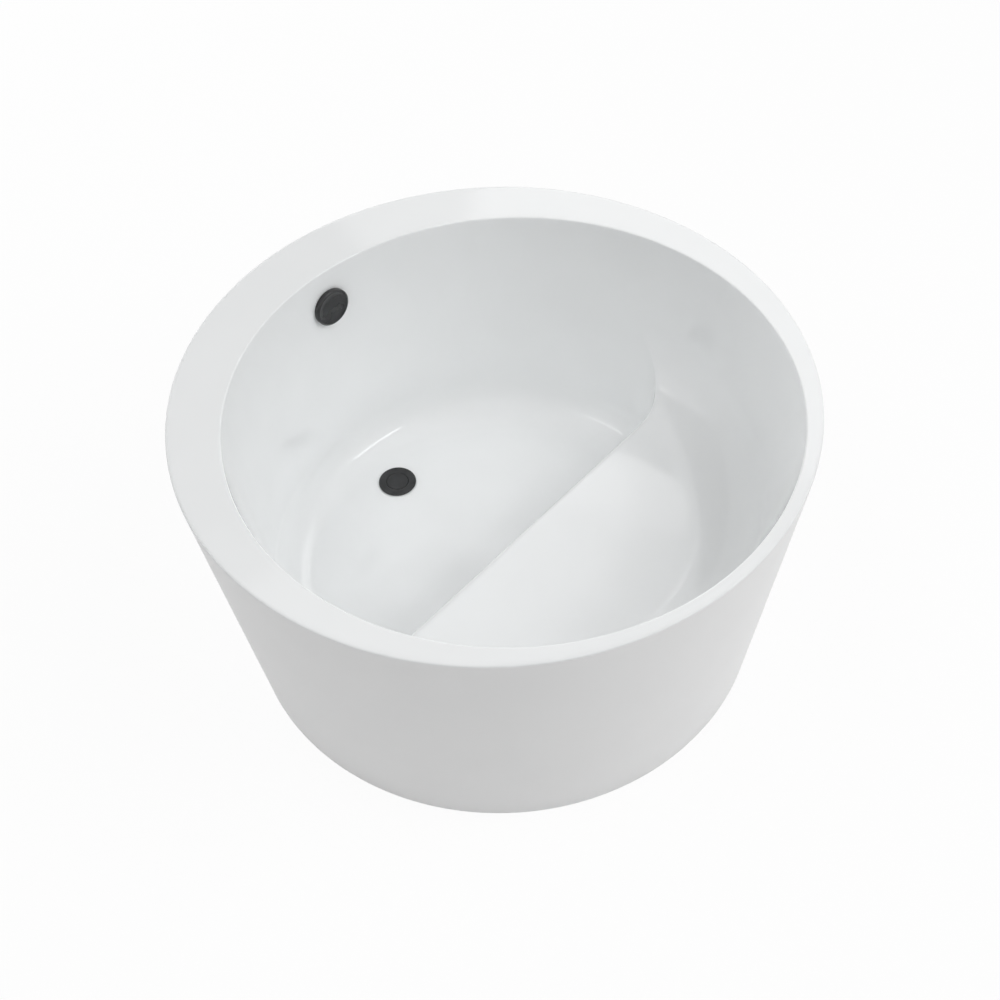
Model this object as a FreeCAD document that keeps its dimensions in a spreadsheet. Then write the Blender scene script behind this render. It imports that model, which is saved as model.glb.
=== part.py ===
import FreeCAD, Part
import math
import os
import re
import Sketcher

# A round free-standing bathtub: an acrylic basin with a moulded seat, an outer skirt bonded
# under its rim, a steel cradle on five levelling feet, and the waste and overflow set.
# The frame: origin on the floor at the centre of the round rim, +Z up, +X towards the seat,
# so the overflow and the drain lie on the -X side. Millimetres.

os.makedirs("parts", exist_ok=True)
doc = FreeCAD.newDocument("round_bathtub")
sheet = doc.addObject("Spreadsheet::Sheet", "Sizes")

# Driving dimensions, piece by piece: alias, value, meaning.
SIZES = [
    # the whole tub
    ("tub_rad", 600, "outside radius of the rim"),
    ("tub_height", 610, "floor to the top of the rim"),
    ("skirt_taper", 83, "how much narrower the skirt is where its line meets the floor"),
    ("shell_wall", 6, "acrylic with its glass-fibre backing"),
    ("seat_fit", 0.1, "clearance of pieces that are screwed or pushed together"),
    ("run_fit", 0.05, "radial clearance of a sliding shaft"),
    ("move_gap", 0.3, "clearance of a moving piece from its stop"),
    ("cut_over", 20, "overrun of every cutting solid"),
    # basin
    ("opening_shift", 47, "opening's centre ahead of the tub's axis"),
    ("rim_front", 24, "width of the rim at its narrowest, beside the seat"),
    ("floor_level", 110, "top of the foot well's floor"),
    ("wall_taper", 79, "how much narrower the wall is where its line meets the floor"),
    ("floor_blend", 80, "radius between the floor and what rises from it"),
    ("seat_level", 280, "top of the seat"),
    ("seat_front", 66, "seat's straight front edge ahead of the axis"),
    ("seat_turn", 1.2, "degrees that this edge is turned towards the drain on its +Y side"),
    ("seat_blend", 150, "radius between the seat and the wall behind it"),
    ("corner_blend", 100, "radius of the foot well's two upright corners"),
    ("nose_round", 12, "radius of the seat's front edge"),
    ("lip_drop", 28, "height of the rim's down-turned edge"),
    ("rim_round", 8, "radius of the rim's outer edge"),
    ("opening_round", 5, "radius of the rim's inner edge"),
    # skirt
    ("skirt_wall", 5, "thickness of the skirt"),
    ("skirt_lift", 4, "gap between the skirt and the floor"),
    ("return_width", 32, "width of the skirt's inward bottom flange"),
    ("tongue_root", 14, "height over which the bonding tongue runs into the wall"),
    # boards moulded under the basin
    ("board_thick", 12, "thickness of the stiffening boards"),
    ("board_inset", 12, "boards stop short of the basin's curves by this"),
    ("drain_cutout_rad", 58, "clearance hole for the waste in the floor board"),
    # cradle
    ("rail_size", 25, "outside of the square tube"),
    ("rail_wall", 2, "wall of the square tube"),
    ("rail_round", 3, "corner radius of the square tube"),
    ("rail_offset", 210, "long rails to each side of the axis"),
    ("flange_screw_in", 23, "screws in the skirt's flange, in from its outer line"),
    ("cross_front", -150, "front cross rail"),
    ("cross_middle", 60, "middle cross rail, over the fifth foot"),
    ("cross_inset", 125, "rear cross rail, in from the rails' end"),
    ("cap_flange", 2, "thickness of an end cap's head"),
    ("cap_plug", 14, "length of an end cap inside the tube"),
    ("post_plate", 60, "side of the plate at the top of a post"),
    ("post_plate_thick", 3, "its thickness"),
    # levelling feet
    ("stud_rad", 6, "thread of a levelling foot"),
    ("stud_top_gap", 3, "stud's top below the top of the rail"),
    ("foot_inset", 70, "outer feet, in from the rails' ends"),
    ("nut_height", 10, "height of the welded nuts and the lock nuts"),
    ("nut_circle", 10.4, "corner radius of those nuts"),
    ("collar_height", 6, "height of the stud's spanner hexagon"),
    ("pad_rad", 28, "radius of a foot's pad"),
    ("pad_edge", 5, "height of the pad's edge"),
    ("pad_height", 20, "height of the pad's socket"),
    ("socket_rad", 12, "radius of the pad's socket"),
    ("socket_floor", 4, "pad's thickness below the stud"),
    # brackets that tie the skirt to the cradle
    ("bracket_width", 22, "width of the strip"),
    ("bracket_thick", 3, "thickness of the strip"),
    ("bracket_foot", 26, "length of the leg on the skirt's flange"),
    # screws
    ("screw_rad", 2.5, "shank of a screw"),
    ("screw_head_rad", 5, "head of a screw"),
    ("screw_head", 3, "height of the head"),
    ("screw_bite", 8, "length of the screw in what it holds"),
    ("board_screw_in", 110, "floor board screws behind the axis, inner pair"),
    ("board_screw_out", 230, "floor board screws behind the axis, outer pair"),
    # waste and overflow: all in one upright plane, turned a little from the seat's axis
    ("waste_turn", 3.7, "degrees that plane is turned towards +Y on the overflow's side"),
    ("drain_inset", 129, "drain, in from the floor's line"),
    ("drain_hole_rad", 25.5, "hole in the basin's floor"),
    ("flange_rad", 40, "drain flange"),
    ("flange_edge", 1.6, "height of the flange's upright edge"),
    ("flange_crown", 3.1, "height of the flange over its gasket"),
    ("flange_flat_rad", 28, "where the flange turns down into its dish"),
    ("dish_rad", 23, "dish that holds the stopper"),
    ("throat_rad", 24.5, "outside of the flange's threaded throat"),
    ("throat_bore", 19, "its bore"),
    ("throat_depth", 22, "throat below the floor's surface"),
    ("gasket_thick", 1.5, "flange gasket"),
    ("gasket_in", 26, "its inner radius"),
    ("gasket_out", 36, "its outer radius"),
    ("spider_height", 5, "height of the throat's cross bars"),
    ("spider_arm", 3, "width of a cross bar"),
    ("hub_rad", 10, "hub of the cross bars"),
    ("cartridge_rad", 7, "stopper cartridge"),
    ("cartridge_height", 22, "its length"),
    ("cartridge_head", 1.5, "its collar on the hub"),
    ("cartridge_head_rad", 9, "radius of that collar"),
    ("stem_rad", 4, "stopper's stem"),
    ("stem_length", 38, "its length below the cap"),
    ("stopper_rad", 22.8, "stopper's cap"),
    ("stopper_thick", 2.6, "thickness of the cap"),
    ("stopper_dish", 0.7, "how far the middle of the cap is dished"),
    ("stopper_sink", 0.3, "top of the cap below the flange's crown"),
    ("seal_rad", 20.8, "stopper's seal"),
    ("seal_height", 2, "its height"),
    ("seal_in", 12, "its inner radius"),
    ("under_gasket", 3, "gasket under the basin's floor"),
    ("body_flange_rad", 36, "waste body's upper flange"),
    ("body_flange", 4, "its thickness"),
    ("body_rad", 28, "waste body"),
    ("body_bore", 24.6, "its bore"),
    ("body_depth", 60, "waste body below its upper face"),
    ("body_foot", 12, "height of the outlet socket below the body"),
    ("body_floor", 4, "ledge above the outlet socket"),
    ("tail_rad", 19.05, "outlet tail, one and a half inches across"),
    ("tail_bore", 17.5, "its bore"),
    ("tail_end", 8, "tail's end above the floor"),
    ("tail_grip", 16, "length of the tail in its socket"),
    ("tail_shoulder", 1, "how much thicker the tail is in its socket"),
    ("shoulder_in", 0.7, "shoulder's place above the socket's mouth"),
    ("pipe_rad", 20, "overflow pipe"),
    ("pipe_bore", 18, "its bore"),
    ("socket_wall", 4, "wall of a pipe socket"),
    ("socket_deep", 24, "depth of a pipe socket"),
    ("run_rise", 29, "level pipe's axis above the waste body's foot"),
    ("side_reach", 60, "waste body's side socket from its axis"),
    ("elbow_inset", 31, "lower elbow, in from the skirt's line at the floor"),
    ("elbow_arm", 44, "length of an elbow's arm"),
    ("slip_nut_rad", 28.5, "slip nut"),
    ("slip_nut_length", 20, "its length"),
    ("slip_nut_lip", 3, "its end wall"),
    ("slip_washer", 3, "slip washer"),
    ("overflow_drop", 85, "overflow, down from the top of the rim"),
    ("overflow_hole_rad", 26, "hole in the basin's wall"),
    ("elbow_flange_rad", 34, "overflow elbow's face"),
    ("elbow_flange", 4, "its thickness"),
    ("elbow_back", 30, "elbow's centre behind its face"),
    ("back_gasket", 4, "gasket behind the wall"),
    ("sleeve_rad", 22, "clamping ring's threaded sleeve"),
    ("sleeve_bore", 19, "its bore"),
    ("sleeve_reach", 16, "sleeve inside the elbow"),
    ("ring_rad", 35, "clamping ring"),
    ("ring_thick", 3, "its thickness"),
    ("cover_rad", 40, "overflow cover"),
    ("cover_depth", 11, "cover's depth"),
    ("cover_wall", 2.4, "wall of the cover"),
    ("cover_round", 1.6, "edge radius of the cover"),
    ("intake_width", 34, "water intake at the cover's lower edge"),
    ("intake_height", 5, "its height"),
]

for row, (alias, number, meaning) in enumerate(SIZES, start=1):
    sheet.set("A%d" % row, meaning)
    sheet.set("B%d" % row, str(number))
    sheet.setAlias("B%d" % row, alias)
doc.recompute()

# Sizes that follow from the driving ones, as expressions.
FOLLOWING = {
    "foot_rad": "tub_rad - skirt_taper",
    "opening_rad": "tub_rad - opening_shift - rim_front",
    "floor_rad": "opening_rad - wall_taper",
    "bracket_screw": "sqrt((foot_rad - flange_screw_in) ^ 2 - rail_offset ^ 2)",
    "rail_half": "bracket_screw - cap_flange + bracket_foot / 2 - bracket_thick",
    "cross_rear": "rail_half - cross_inset",
    "foot_place": "rail_half - foot_inset",
    "drain_reach": "floor_rad - drain_inset",
    "elbow_reach": "foot_rad - elbow_inset",
    "overflow_high": "tub_height - overflow_drop",
    "run_level": "floor_level - shell_wall - under_gasket - body_depth + run_rise",
}
WORDS = {alias for alias, number, meaning in SIZES}
NODES = []


def linked(text):
    # an expression in plain words: what follows is written out, and each alias is pointed at the sheet
    def written(match):
        word = match.group()
        if word in FOLLOWING:
            return "(%s)" % linked(FOLLOWING[word])
        return "Sizes." + word if word in WORDS else word
    return re.sub(r"[a-z_]+", written, text)


def value(text):
    return float(sheet.evalExpression(linked(text)))


def drive(obj, **sizes):
    for prop, text in sizes.items():
        obj.setExpression(prop, linked(text))
    return obj


def move(obj, x="0", y="0", z="0"):
    for axis, text in (("x", x), ("y", y), ("z", z)):
        if text != "0":
            obj.setExpression("Placement.Base." + axis, linked(text))
    return obj


def keep(obj, node):
    obj.Label = node
    NODES.append(obj)
    return obj


def cylinder(name, radius, height, x="0", y="0", z="0"):
    return move(drive(doc.addObject("Part::Cylinder", name), Radius=radius, Height=height), x, y, z)


def box(name, length, width, height, x="0", y="0", z="0"):
    solid = doc.addObject("Part::Box", name)
    return move(drive(solid, Length=length, Width=width, Height=height), x, y, z)


def hexagon(name, circle, height, x="0", y="0", z="0"):
    return move(drive(doc.addObject("Part::Prism", name), Circumradius=circle, Height=height), x, y, z)


def joined(name, first, second):
    both = doc.addObject("Part::Fuse", name)
    both.Base = first
    both.Tool = second
    return both


def shared(name, first, second):
    both = doc.addObject("Part::Common", name)
    both.Base = first
    both.Tool = second
    return both


def cut_from(name, solid, tools):
    for number, tool in enumerate(tools, start=1):
        rest = doc.addObject("Part::Cut", "%s_cut_%d" % (name, number))
        rest.Base = solid
        rest.Tool = tool
        solid = rest
    return solid


def group(name, solids):
    # identical pieces that share one node
    together = doc.addObject("Part::Compound", name)
    together.Links = solids
    return together


def outline(body, name, plane, loops):
    # closed outlines of straight lines, every corner held by two driven distances
    sketch = body.newObject("Sketcher::SketchObject", name)
    origin_plane = [part for part in body.Origin.OriginFeatures if part.Role == plane][0]
    sketch.AttachmentSupport = [(origin_plane, "")]
    sketch.MapMode = "FlatFace"
    for points in loops:
        places = [FreeCAD.Vector(value(across), value(up), 0) for across, up in points]
        first = sketch.GeometryCount
        for number, place in enumerate(places):
            following = places[(number + 1) % len(places)]
            sketch.addGeometry(Part.LineSegment(place, following), False)
        for number in range(len(places)):
            following = first + (number + 1) % len(places)
            sketch.addConstraint(Sketcher.Constraint("Coincident", first + number, 2, following, 1))
        for number, texts in enumerate(points):
            for kind, axis, text in zip(("DistanceX", "DistanceY"), (-2, -1), texts):
                corner = (first + number, 1)
                if text == "0":
                    sketch.addConstraint(Sketcher.Constraint("PointOnObject", *corner, axis))
                else:
                    index = sketch.addConstraint(Sketcher.Constraint(kind, -1, 1, *corner, value(text)))
                    sketch.setExpression("Constraints[%d]" % index, linked(text))
    return sketch


def turned(name, points):
    # a piece turned about its own upright axis; each point is a radius and a height
    body = doc.addObject("PartDesign::Body", name)
    sketch = outline(body, name + "_outline", "XZ_Plane", [points])
    turn = body.newObject("PartDesign::Revolution", name + "_turn")
    turn.Profile = sketch
    turn.ReferenceAxis = (sketch, ["V_Axis"])
    turn.Angle = 360
    body.Tip = turn
    return body


def extruded(name, plane, loops, length):
    body = doc.addObject("PartDesign::Body", name)
    pad = body.newObject("PartDesign::Pad", name + "_pad")
    pad.Profile = outline(body, name + "_outline", plane, loops)
    drive(pad, Length=length)
    body.Tip = pad
    return body


def ring(name, inner, outer, low, high):
    return turned(name, [(inner, low), (outer, low), (outer, high), (inner, high)])


def middle_of(edge):
    return edge.valueAt((edge.FirstParameter + edge.LastParameter) / 2)


def near(one, other):
    return abs(one - other) < value("seat_fit")


def rounded(name, solid, rules):
    # fillets: each rule is a test of an edge's middle point and a radius
    doc.recompute()
    radii = {}
    for number, edge in enumerate(solid.Shape.Edges, start=1):
        for test, radius in rules:
            if test(middle_of(edge)):
                radii[number] = value(radius)
    fillet = doc.addObject("Part::Fillet", name)
    fillet.Base = solid
    fillet.Edges = [(number, radius, radius) for number, radius in sorted(radii.items())]
    return fillet


# The outer line of the tub and the oblique wall of the bathing space, as expressions of a level

def skirt_at(level):
    return "(foot_rad + (tub_rad - foot_rad) * (%s) / tub_height)" % level


def wall_share(level):
    return "((%s) - floor_level) / (tub_height - floor_level)" % level


def wall_rad(level):
    return "(floor_rad + (opening_rad - floor_rad) * %s)" % wall_share(level)


def wall_shift(level):
    return "(opening_shift * %s)" % wall_share(level)


UNDER_FLOOR = "(floor_level - shell_wall)"
RAIL_TOP = "(floor_level - shell_wall - board_thick)"
RAIL_LOW = "(floor_level - shell_wall - board_thick - rail_size)"


# Basin: the bathing space, grown by the shell's wall, less the bathing space itself

def bathing_space(name, grow, top):
    bottom = "floor_level - " + grow
    seat_top = "seat_level - " + grow
    circles = []
    for place, level in (("low", bottom), ("high", top)):
        circle = doc.addObject("Part::Circle", "%s_%s_circle" % (name, place))
        drive(circle, Radius="%s + %s" % (wall_rad(level), grow))
        circles.append(move(circle, x=wall_shift(level), z=level))
    wall = doc.addObject("Part::Loft", name + "_wall")
    wall.Sections = circles
    wall.Solid = True
    wall.Ruled = True
    seat_block = box(name + "_seat_block", "tub_rad", "2 * tub_rad", seat_top)
    seat_block.Placement = seat_place("seat_front + " + grow, "-tub_rad")
    stepped = cut_from(name, wall, [seat_block])
    front = value("seat_front + " + grow)
    floor = value(bottom)
    seat = value(seat_top)
    return rounded(name, stepped, [
        (lambda p: near(p.z, seat) and ahead(p) > front + value("shell_wall"), "seat_blend + " + grow),
        (lambda p: near(ahead(p), front) and floor + value("shell_wall") < p.z < seat - value("shell_wall"),
         "corner_blend + " + grow),
        (lambda p: near(p.z, floor), "floor_blend + " + grow),
    ])


def seat_place(forward, across, up="0", direction=(0, 0, 1)):
    # a place square to the seat's front edge, with a piece's own Z along direction
    plane = FreeCAD.Placement(FreeCAD.Vector(), FreeCAD.Rotation(FreeCAD.Vector(0, 0, 1), value("seat_turn")))
    turn = FreeCAD.Rotation(FreeCAD.Vector(0, 0, 1), FreeCAD.Vector(*direction))
    return plane * FreeCAD.Placement(FreeCAD.Vector(value(forward), value(across), value(up)), turn)


def ahead(point):
    turn = math.radians(value("seat_turn"))
    return point.x * math.cos(turn) + point.y * math.sin(turn)


def waste_place(along, level, direction=(0, 0, 1)):
    # a place in the upright plane of the drain and the overflow, with a piece's own Z along direction
    turn = FreeCAD.Rotation(FreeCAD.Vector(0, 0, 1), -value("waste_turn"))
    plane = FreeCAD.Placement(FreeCAD.Vector(), turn)
    turn = FreeCAD.Rotation(FreeCAD.Vector(0, 0, 1), FreeCAD.Vector(*direction))
    return plane * FreeCAD.Placement(FreeCAD.Vector(along, 0, level), turn)


def put(obj, along, level, direction=(0, 0, 1)):
    obj.Placement = waste_place(along, level, direction)
    return obj


DRAIN = -value("drain_reach")
FLOOR = value("floor_level")

# the overflow's seat on the wall: its place, and the wall's normal into the bathing space
wall_lean = math.atan((value("opening_rad") - value("opening_shift") - value("floor_rad"))
                      / (value("tub_height") - value("floor_level")))
WALL_FACE = (math.cos(wall_lean), 0, math.sin(wall_lean))
WALL_BACK = (-WALL_FACE[0], 0, -WALL_FACE[2])
OVERFLOW = value("%s - %s" % (wall_shift("overflow_high"), wall_rad("overflow_high")))
OVERFLOW_LEVEL = value("overflow_high")


def off_wall(distance):
    return OVERFLOW + WALL_FACE[0] * distance, OVERFLOW_LEVEL + WALL_FACE[2] * distance


def bulge(radius):
    # how far the middle of a flat disc stands off the round wall when its edge touches it
    return "%s * %s / (2 * %s)" % (radius, radius, wall_rad("overflow_high"))


def basin():
    outside = bathing_space("basin_outside", "shell_wall", "tub_height - shell_wall / 2")
    inside = bathing_space("basin_inside", "0", "tub_height + cut_over")
    lip_level = "tub_height - lip_drop"
    deck_level = "tub_height - shell_wall"
    deck = turned("rim_deck", [
        ("0", deck_level), ("0", "tub_height"), ("tub_rad", "tub_height"),
        (skirt_at(lip_level), lip_level), (skirt_at(lip_level) + " - shell_wall", lip_level),
        (skirt_at(deck_level) + " - shell_wall", deck_level)])
    top = value("tub_height")
    outer = value("tub_rad")
    deck = rounded("rim_deck_rounded", deck, [
        (lambda p: near(p.z, top) and near(math.hypot(p.x, p.y), outer), "rim_round")])
    whole = joined("basin_whole", outside, deck)
    nose_half = "(%s - seat_blend)" % wall_rad("seat_level")
    nose_block = box("nose_block", "nose_round + cut_over", "2 * " + nose_half, "nose_round + cut_over")
    nose_block.Placement = seat_place("seat_front - cut_over", "-" + nose_half, "seat_level - nose_round")
    nose_core = cylinder("nose_core", "nose_round", "2 * tub_rad")
    nose_core.Placement = seat_place("seat_front + nose_round", "-tub_rad", "seat_level - nose_round",
                                     (0, 1, 0))
    nose = cut_from("nose_edge", nose_block, [nose_core])
    drain_hole = put(cylinder("drain_hole", "drain_hole_rad", "2 * cut_over"),
                     DRAIN, FLOOR - value("cut_over"))
    overflow_hole = put(cylinder("overflow_hole", "overflow_hole_rad", "2 * cut_over"),
                        *off_wall(-value("cut_over")), WALL_FACE)
    shell = cut_from("basin_shell", whole, [inside, nose, drain_hole, overflow_hole])
    centre = value("opening_shift")
    opening = value("opening_rad")
    return rounded("basin", shell, [
        (lambda p: near(p.z, top) and near(math.hypot(p.x - centre, p.y), opening), "opening_round")])


keep(basin(), "basin")


# Skirt: one cone shell with a bonding tongue behind the rim's edge and a flange at its foot

def skirt():
    seam = "(tub_height - lip_drop)"
    tongue_top = "(tub_height - shell_wall - seat_fit)"
    flange_top = "(skirt_lift + skirt_wall)"
    behind = " - shell_wall - seat_fit"
    shell = turned("skirt_shell", [
        (skirt_at("skirt_lift"), "skirt_lift"),
        (skirt_at(seam), seam),
        (skirt_at(seam) + behind, seam),
        (skirt_at(tongue_top) + behind, tongue_top),
        (skirt_at(tongue_top) + behind + " - skirt_wall", tongue_top),
        (skirt_at(seam) + behind + " - skirt_wall", seam),
        (skirt_at(seam + " - tongue_root") + " - skirt_wall", seam + " - tongue_root"),
        (skirt_at(flange_top) + " - skirt_wall", flange_top),
        (skirt_at("skirt_lift") + " - return_width", flange_top),
        (skirt_at("skirt_lift") + " - return_width", "skirt_lift")])
    holes = [cylinder("skirt_hole_%d" % number, "screw_rad + seat_fit", "2 * cut_over",
                      x=x, y=y, z="-cut_over")
             for number, (x, y) in enumerate(BRACKET_SCREWS, start=1)]
    return cut_from("skirt", shell, holes)


CORNERS = [(sign, side) for sign in ("", "-") for side in ("", "-")]
BRACKET_SCREWS = [(sign + "bracket_screw", side + "rail_offset") for sign, side in CORNERS]
keep(skirt(), "skirt")


# Stiffening boards moulded under the floor and the seat

BOARD_SCREWS = [("-" + x, side + "rail_offset")
                for x in ("board_screw_in", "board_screw_out") for side in ("", "-")]
SEAT_BOARD_RAD = "(%s - seat_blend)" % wall_rad("seat_level")
SEAT_BOARD_FRONT = "(seat_front + shell_wall + board_inset)"
SEAT_BOARD_BACK = "(%s + sqrt(%s ^ 2 - rail_offset ^ 2))" % (wall_shift("seat_level"), SEAT_BOARD_RAD)
POST_PLACE = "((%s + %s) / 2)" % (SEAT_BOARD_FRONT, SEAT_BOARD_BACK)
POST_SCREW_SPREAD = "(rail_size / 2 + post_plate / 2) / 2"
POST_SCREWS = [("%s %s %s" % (POST_PLACE, sign, POST_SCREW_SPREAD), side + "rail_offset")
               for sign in ("+", "-") for side in ("", "-")]


def pilot_holes(name, places, low):
    return [cylinder("%s_%d" % (name, number), "screw_rad + seat_fit", "screw_bite + cut_over",
                     x=x, y=y, z=low + " - cut_over")
            for number, (x, y) in enumerate(places, start=1)]


def floor_board():
    low = "floor_level - shell_wall - board_thick"
    disc = cylinder("floor_board_disc", "floor_rad - floor_blend - board_inset", "board_thick", z=low)
    reach = box("floor_board_reach", "tub_rad", "2 * tub_rad", "tub_height",
                x="seat_front - floor_blend - board_inset - tub_rad", y="-tub_rad")
    waste_hole = put(cylinder("floor_board_hole", "drain_cutout_rad", "4 * cut_over"),
                     DRAIN, FLOOR - 2 * value("cut_over"))
    holes = pilot_holes("floor_pilot", BOARD_SCREWS, low)
    return cut_from("floor_board", shared("floor_board_plate", disc, reach), [waste_hole] + holes)


def seat_board():
    low = "seat_level - shell_wall - board_thick"
    disc = cylinder("seat_board_disc", SEAT_BOARD_RAD, "board_thick", x=wall_shift("seat_level"), z=low)
    reach = box("seat_board_reach", "tub_rad", "2 * tub_rad", "tub_height", x=SEAT_BOARD_FRONT, y="-tub_rad")
    holes = pilot_holes("seat_pilot", POST_SCREWS, low)
    return cut_from("seat_board", shared("seat_board_plate", disc, reach), holes)


keep(floor_board(), "floor_board")
keep(seat_board(), "seat_board")


# Cradle: square tubes, with the holes of their feet and screws

def square_tube(name, length, x, y, z, direction=(1, 0, 0)):
    half = "rail_size / 2"
    bore = "(rail_size / 2 - rail_wall)"
    corners = (("-", "-"), ("", "-"), ("", ""), ("-", ""))
    loops = [[(across + side, up + side) for across, up in corners] for side in (half, bore)]
    body = extruded(name + "_tube", "YZ_Plane", loops, length)
    doc.recompute()
    pad = body.Tip
    edge_names = []
    for number, edge in enumerate(pad.Shape.Edges, start=1):
        place = middle_of(edge)
        if near(place.x, value(length) / 2) and near(abs(place.y), value(half)):
            edge_names.append("Edge%d" % number)
    fillet = body.newObject("PartDesign::Fillet", name + "_corners")
    fillet.Base = (pad, edge_names)
    drive(fillet, Radius="rail_round")
    body.Tip = fillet
    body.Placement = FreeCAD.Placement(FreeCAD.Vector(),
                                       FreeCAD.Rotation(FreeCAD.Vector(1, 0, 0), FreeCAD.Vector(*direction)))
    return move(body, x, y, z)


RAIL_AXIS = RAIL_TOP + " - rail_size / 2"
FEET = [("foot_place", "rail_offset"), ("foot_place", "-rail_offset"), ("-foot_place", "rail_offset"),
        ("-foot_place", "-rail_offset"), ("cross_middle", "0")]


def stud_hole(number):
    x, y = FEET[number]
    return cylinder("stud_hole_%d" % (number + 1), "stud_rad + move_gap", "cut_over", x=x, y=y,
                    z=RAIL_LOW + " - cut_over / 2")


def screw_hole(name, place):
    return cylinder(name, "screw_rad + move_gap", "rail_size + cut_over", x=place[0], y=place[1],
                    z=RAIL_LOW + " - cut_over / 2")


def long_rail(name, side):
    tube = square_tube(name, "2 * rail_half", "-rail_half", side + "rail_offset", RAIL_AXIS)
    feet = [number for number, (x, y) in enumerate(FEET) if y == side + "rail_offset"]
    screws = [place for place in BOARD_SCREWS if place[1] == side + "rail_offset"]
    holes = [screw_hole("%s_screw_hole_%d" % (name, number), place)
             for number, place in enumerate(screws, start=1)]
    return cut_from(name, tube, [stud_hole(number) for number in feet] + holes)


def cross_rail(name, place):
    length = "2 * rail_offset - rail_size"
    return square_tube(name, length, place, "rail_size / 2 - rail_offset", RAIL_AXIS, (0, 1, 0))


keep(long_rail("rail_left", ""), "rail_left")
keep(long_rail("rail_right", "-"), "rail_right")
keep(cross_rail("cross_rail_front", "cross_front"), "cross_rail_front")
keep(cut_from("cross_rail_middle", cross_rail("cross_rail_middle", "cross_middle"), [stud_hole(4)]),
     "cross_rail_middle")
keep(cross_rail("cross_rail_rear", "cross_rear"), "cross_rail_rear")


def rail_cap(name, sign, side):
    inner = "(rail_size - 2 * rail_wall - 2 * seat_fit)"
    head = box(name + "_head", "cap_flange", "rail_size", "rail_size", x="rail_half",
               y="-rail_size / 2", z="-rail_size / 2")
    plug = box(name + "_plug", "cap_plug + cap_flange / 2", inner, inner, x="rail_half - cap_plug",
               y="-%s / 2" % inner, z="-%s / 2" % inner)
    pilot = cylinder(name + "_pilot", "screw_rad + seat_fit", "4 * cap_plug")
    pilot.Placement = FreeCAD.Placement(FreeCAD.Vector(value("rail_half") - 2 * value("cap_plug"), 0, 0),
                                        FreeCAD.Rotation(FreeCAD.Vector(0, 0, 1), FreeCAD.Vector(1, 0, 0)))
    cap = cut_from(name, joined(name + "_whole", head, plug), [pilot])
    turn = FreeCAD.Rotation(FreeCAD.Vector(0, 0, 1), 0 if sign == "" else 180)
    cap.Placement = FreeCAD.Placement(FreeCAD.Vector(0, value(side + "rail_offset"), value(RAIL_AXIS)), turn)
    return cap


keep(group("rail_caps", [rail_cap("rail_cap_%d" % number, *corner)
                         for number, corner in enumerate(CORNERS, 1)]), "rail_caps")


def seat_post(name, side):
    plate_low = "seat_level - shell_wall - board_thick - post_plate_thick"
    height = "%s - %s" % (plate_low, RAIL_TOP)
    tube = square_tube(name, height, POST_PLACE, side + "rail_offset", RAIL_TOP, (0, 0, 1))
    plate = box(name + "_plate", "post_plate", "post_plate", "post_plate_thick",
                x=POST_PLACE + " - post_plate / 2", y=side + "rail_offset - post_plate / 2", z=plate_low)
    holes = [cylinder("%s_hole_%d" % (name, number), "screw_rad + seat_fit", "2 * cut_over", x=x, y=y,
                      z=plate_low + " - cut_over")
             for number, (x, y) in enumerate(POST_SCREWS, start=1) if y == side + "rail_offset"]
    return cut_from(name, joined(name + "_whole", tube, plate), holes)


keep(seat_post("seat_post_left", ""), "seat_post_left")
keep(seat_post("seat_post_right", "-"), "seat_post_right")


# Screws: a shank along +Z from the underside of a chamfered head

def screw(name, length):
    edge = "screw_head / 3"
    return turned(name, [
        ("0", "-screw_head"), ("screw_head_rad - " + edge, "-screw_head"),
        ("screw_head_rad", "-screw_head + " + edge),
        ("screw_head_rad", "0"), ("screw_rad", "0"), ("screw_rad", length + " - screw_rad"),
        ("screw_rad / 4", length), ("0", length)])


def upward_screws(name, places, length, seat):
    return group(name, [move(screw("%s_%d" % (name, number), length), x, y, seat)
                        for number, (x, y) in enumerate(places, start=1)])


keep(upward_screws("board_screws", BOARD_SCREWS, "rail_size + screw_bite", RAIL_LOW), "board_screws")
keep(upward_screws("post_screws", POST_SCREWS, "post_plate_thick + screw_bite",
                   "seat_level - shell_wall - board_thick - post_plate_thick"), "post_screws")


# Brackets between the skirt's flange and the ends of the long rails

def skirt_bracket(name, sign, side):
    # a bent strip: its outline lies in the XZ plane and is as wide as the strip
    back = "(rail_half + cap_flange)"
    low = "(skirt_lift + skirt_wall)"
    strip = extruded(name, "XZ_Plane", [[
        (back + " + bracket_thick - bracket_foot", low), (back + " + bracket_thick", low),
        (back + " + bracket_thick", RAIL_TOP), (back, RAIL_TOP), (back, low + " + bracket_thick"),
        (back + " + bracket_thick - bracket_foot", low + " + bracket_thick")]], "bracket_width")
    turn = FreeCAD.Rotation(FreeCAD.Vector(0, 0, 1), 0 if sign == "" else 180)
    offset = value(side + "rail_offset") + (1 if sign == "" else -1) * value("bracket_width") / 2
    strip.Placement = FreeCAD.Placement(FreeCAD.Vector(0, offset, 0), turn)
    foot_hole = cylinder(name + "_foot_hole", "screw_rad + seat_fit", "2 * cut_over",
                         x=sign + "bracket_screw", y=side + "rail_offset")
    end_hole = cylinder(name + "_end_hole", "screw_rad + seat_fit", "2 * rail_half + 4 * cut_over")
    end_hole.Placement = FreeCAD.Placement(
        FreeCAD.Vector(-value("rail_half + 2 * cut_over"), value(side + "rail_offset"), value(RAIL_AXIS)),
        FreeCAD.Rotation(FreeCAD.Vector(0, 0, 1), FreeCAD.Vector(1, 0, 0)))
    return cut_from(name, strip, [foot_hole, end_hole])


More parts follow.
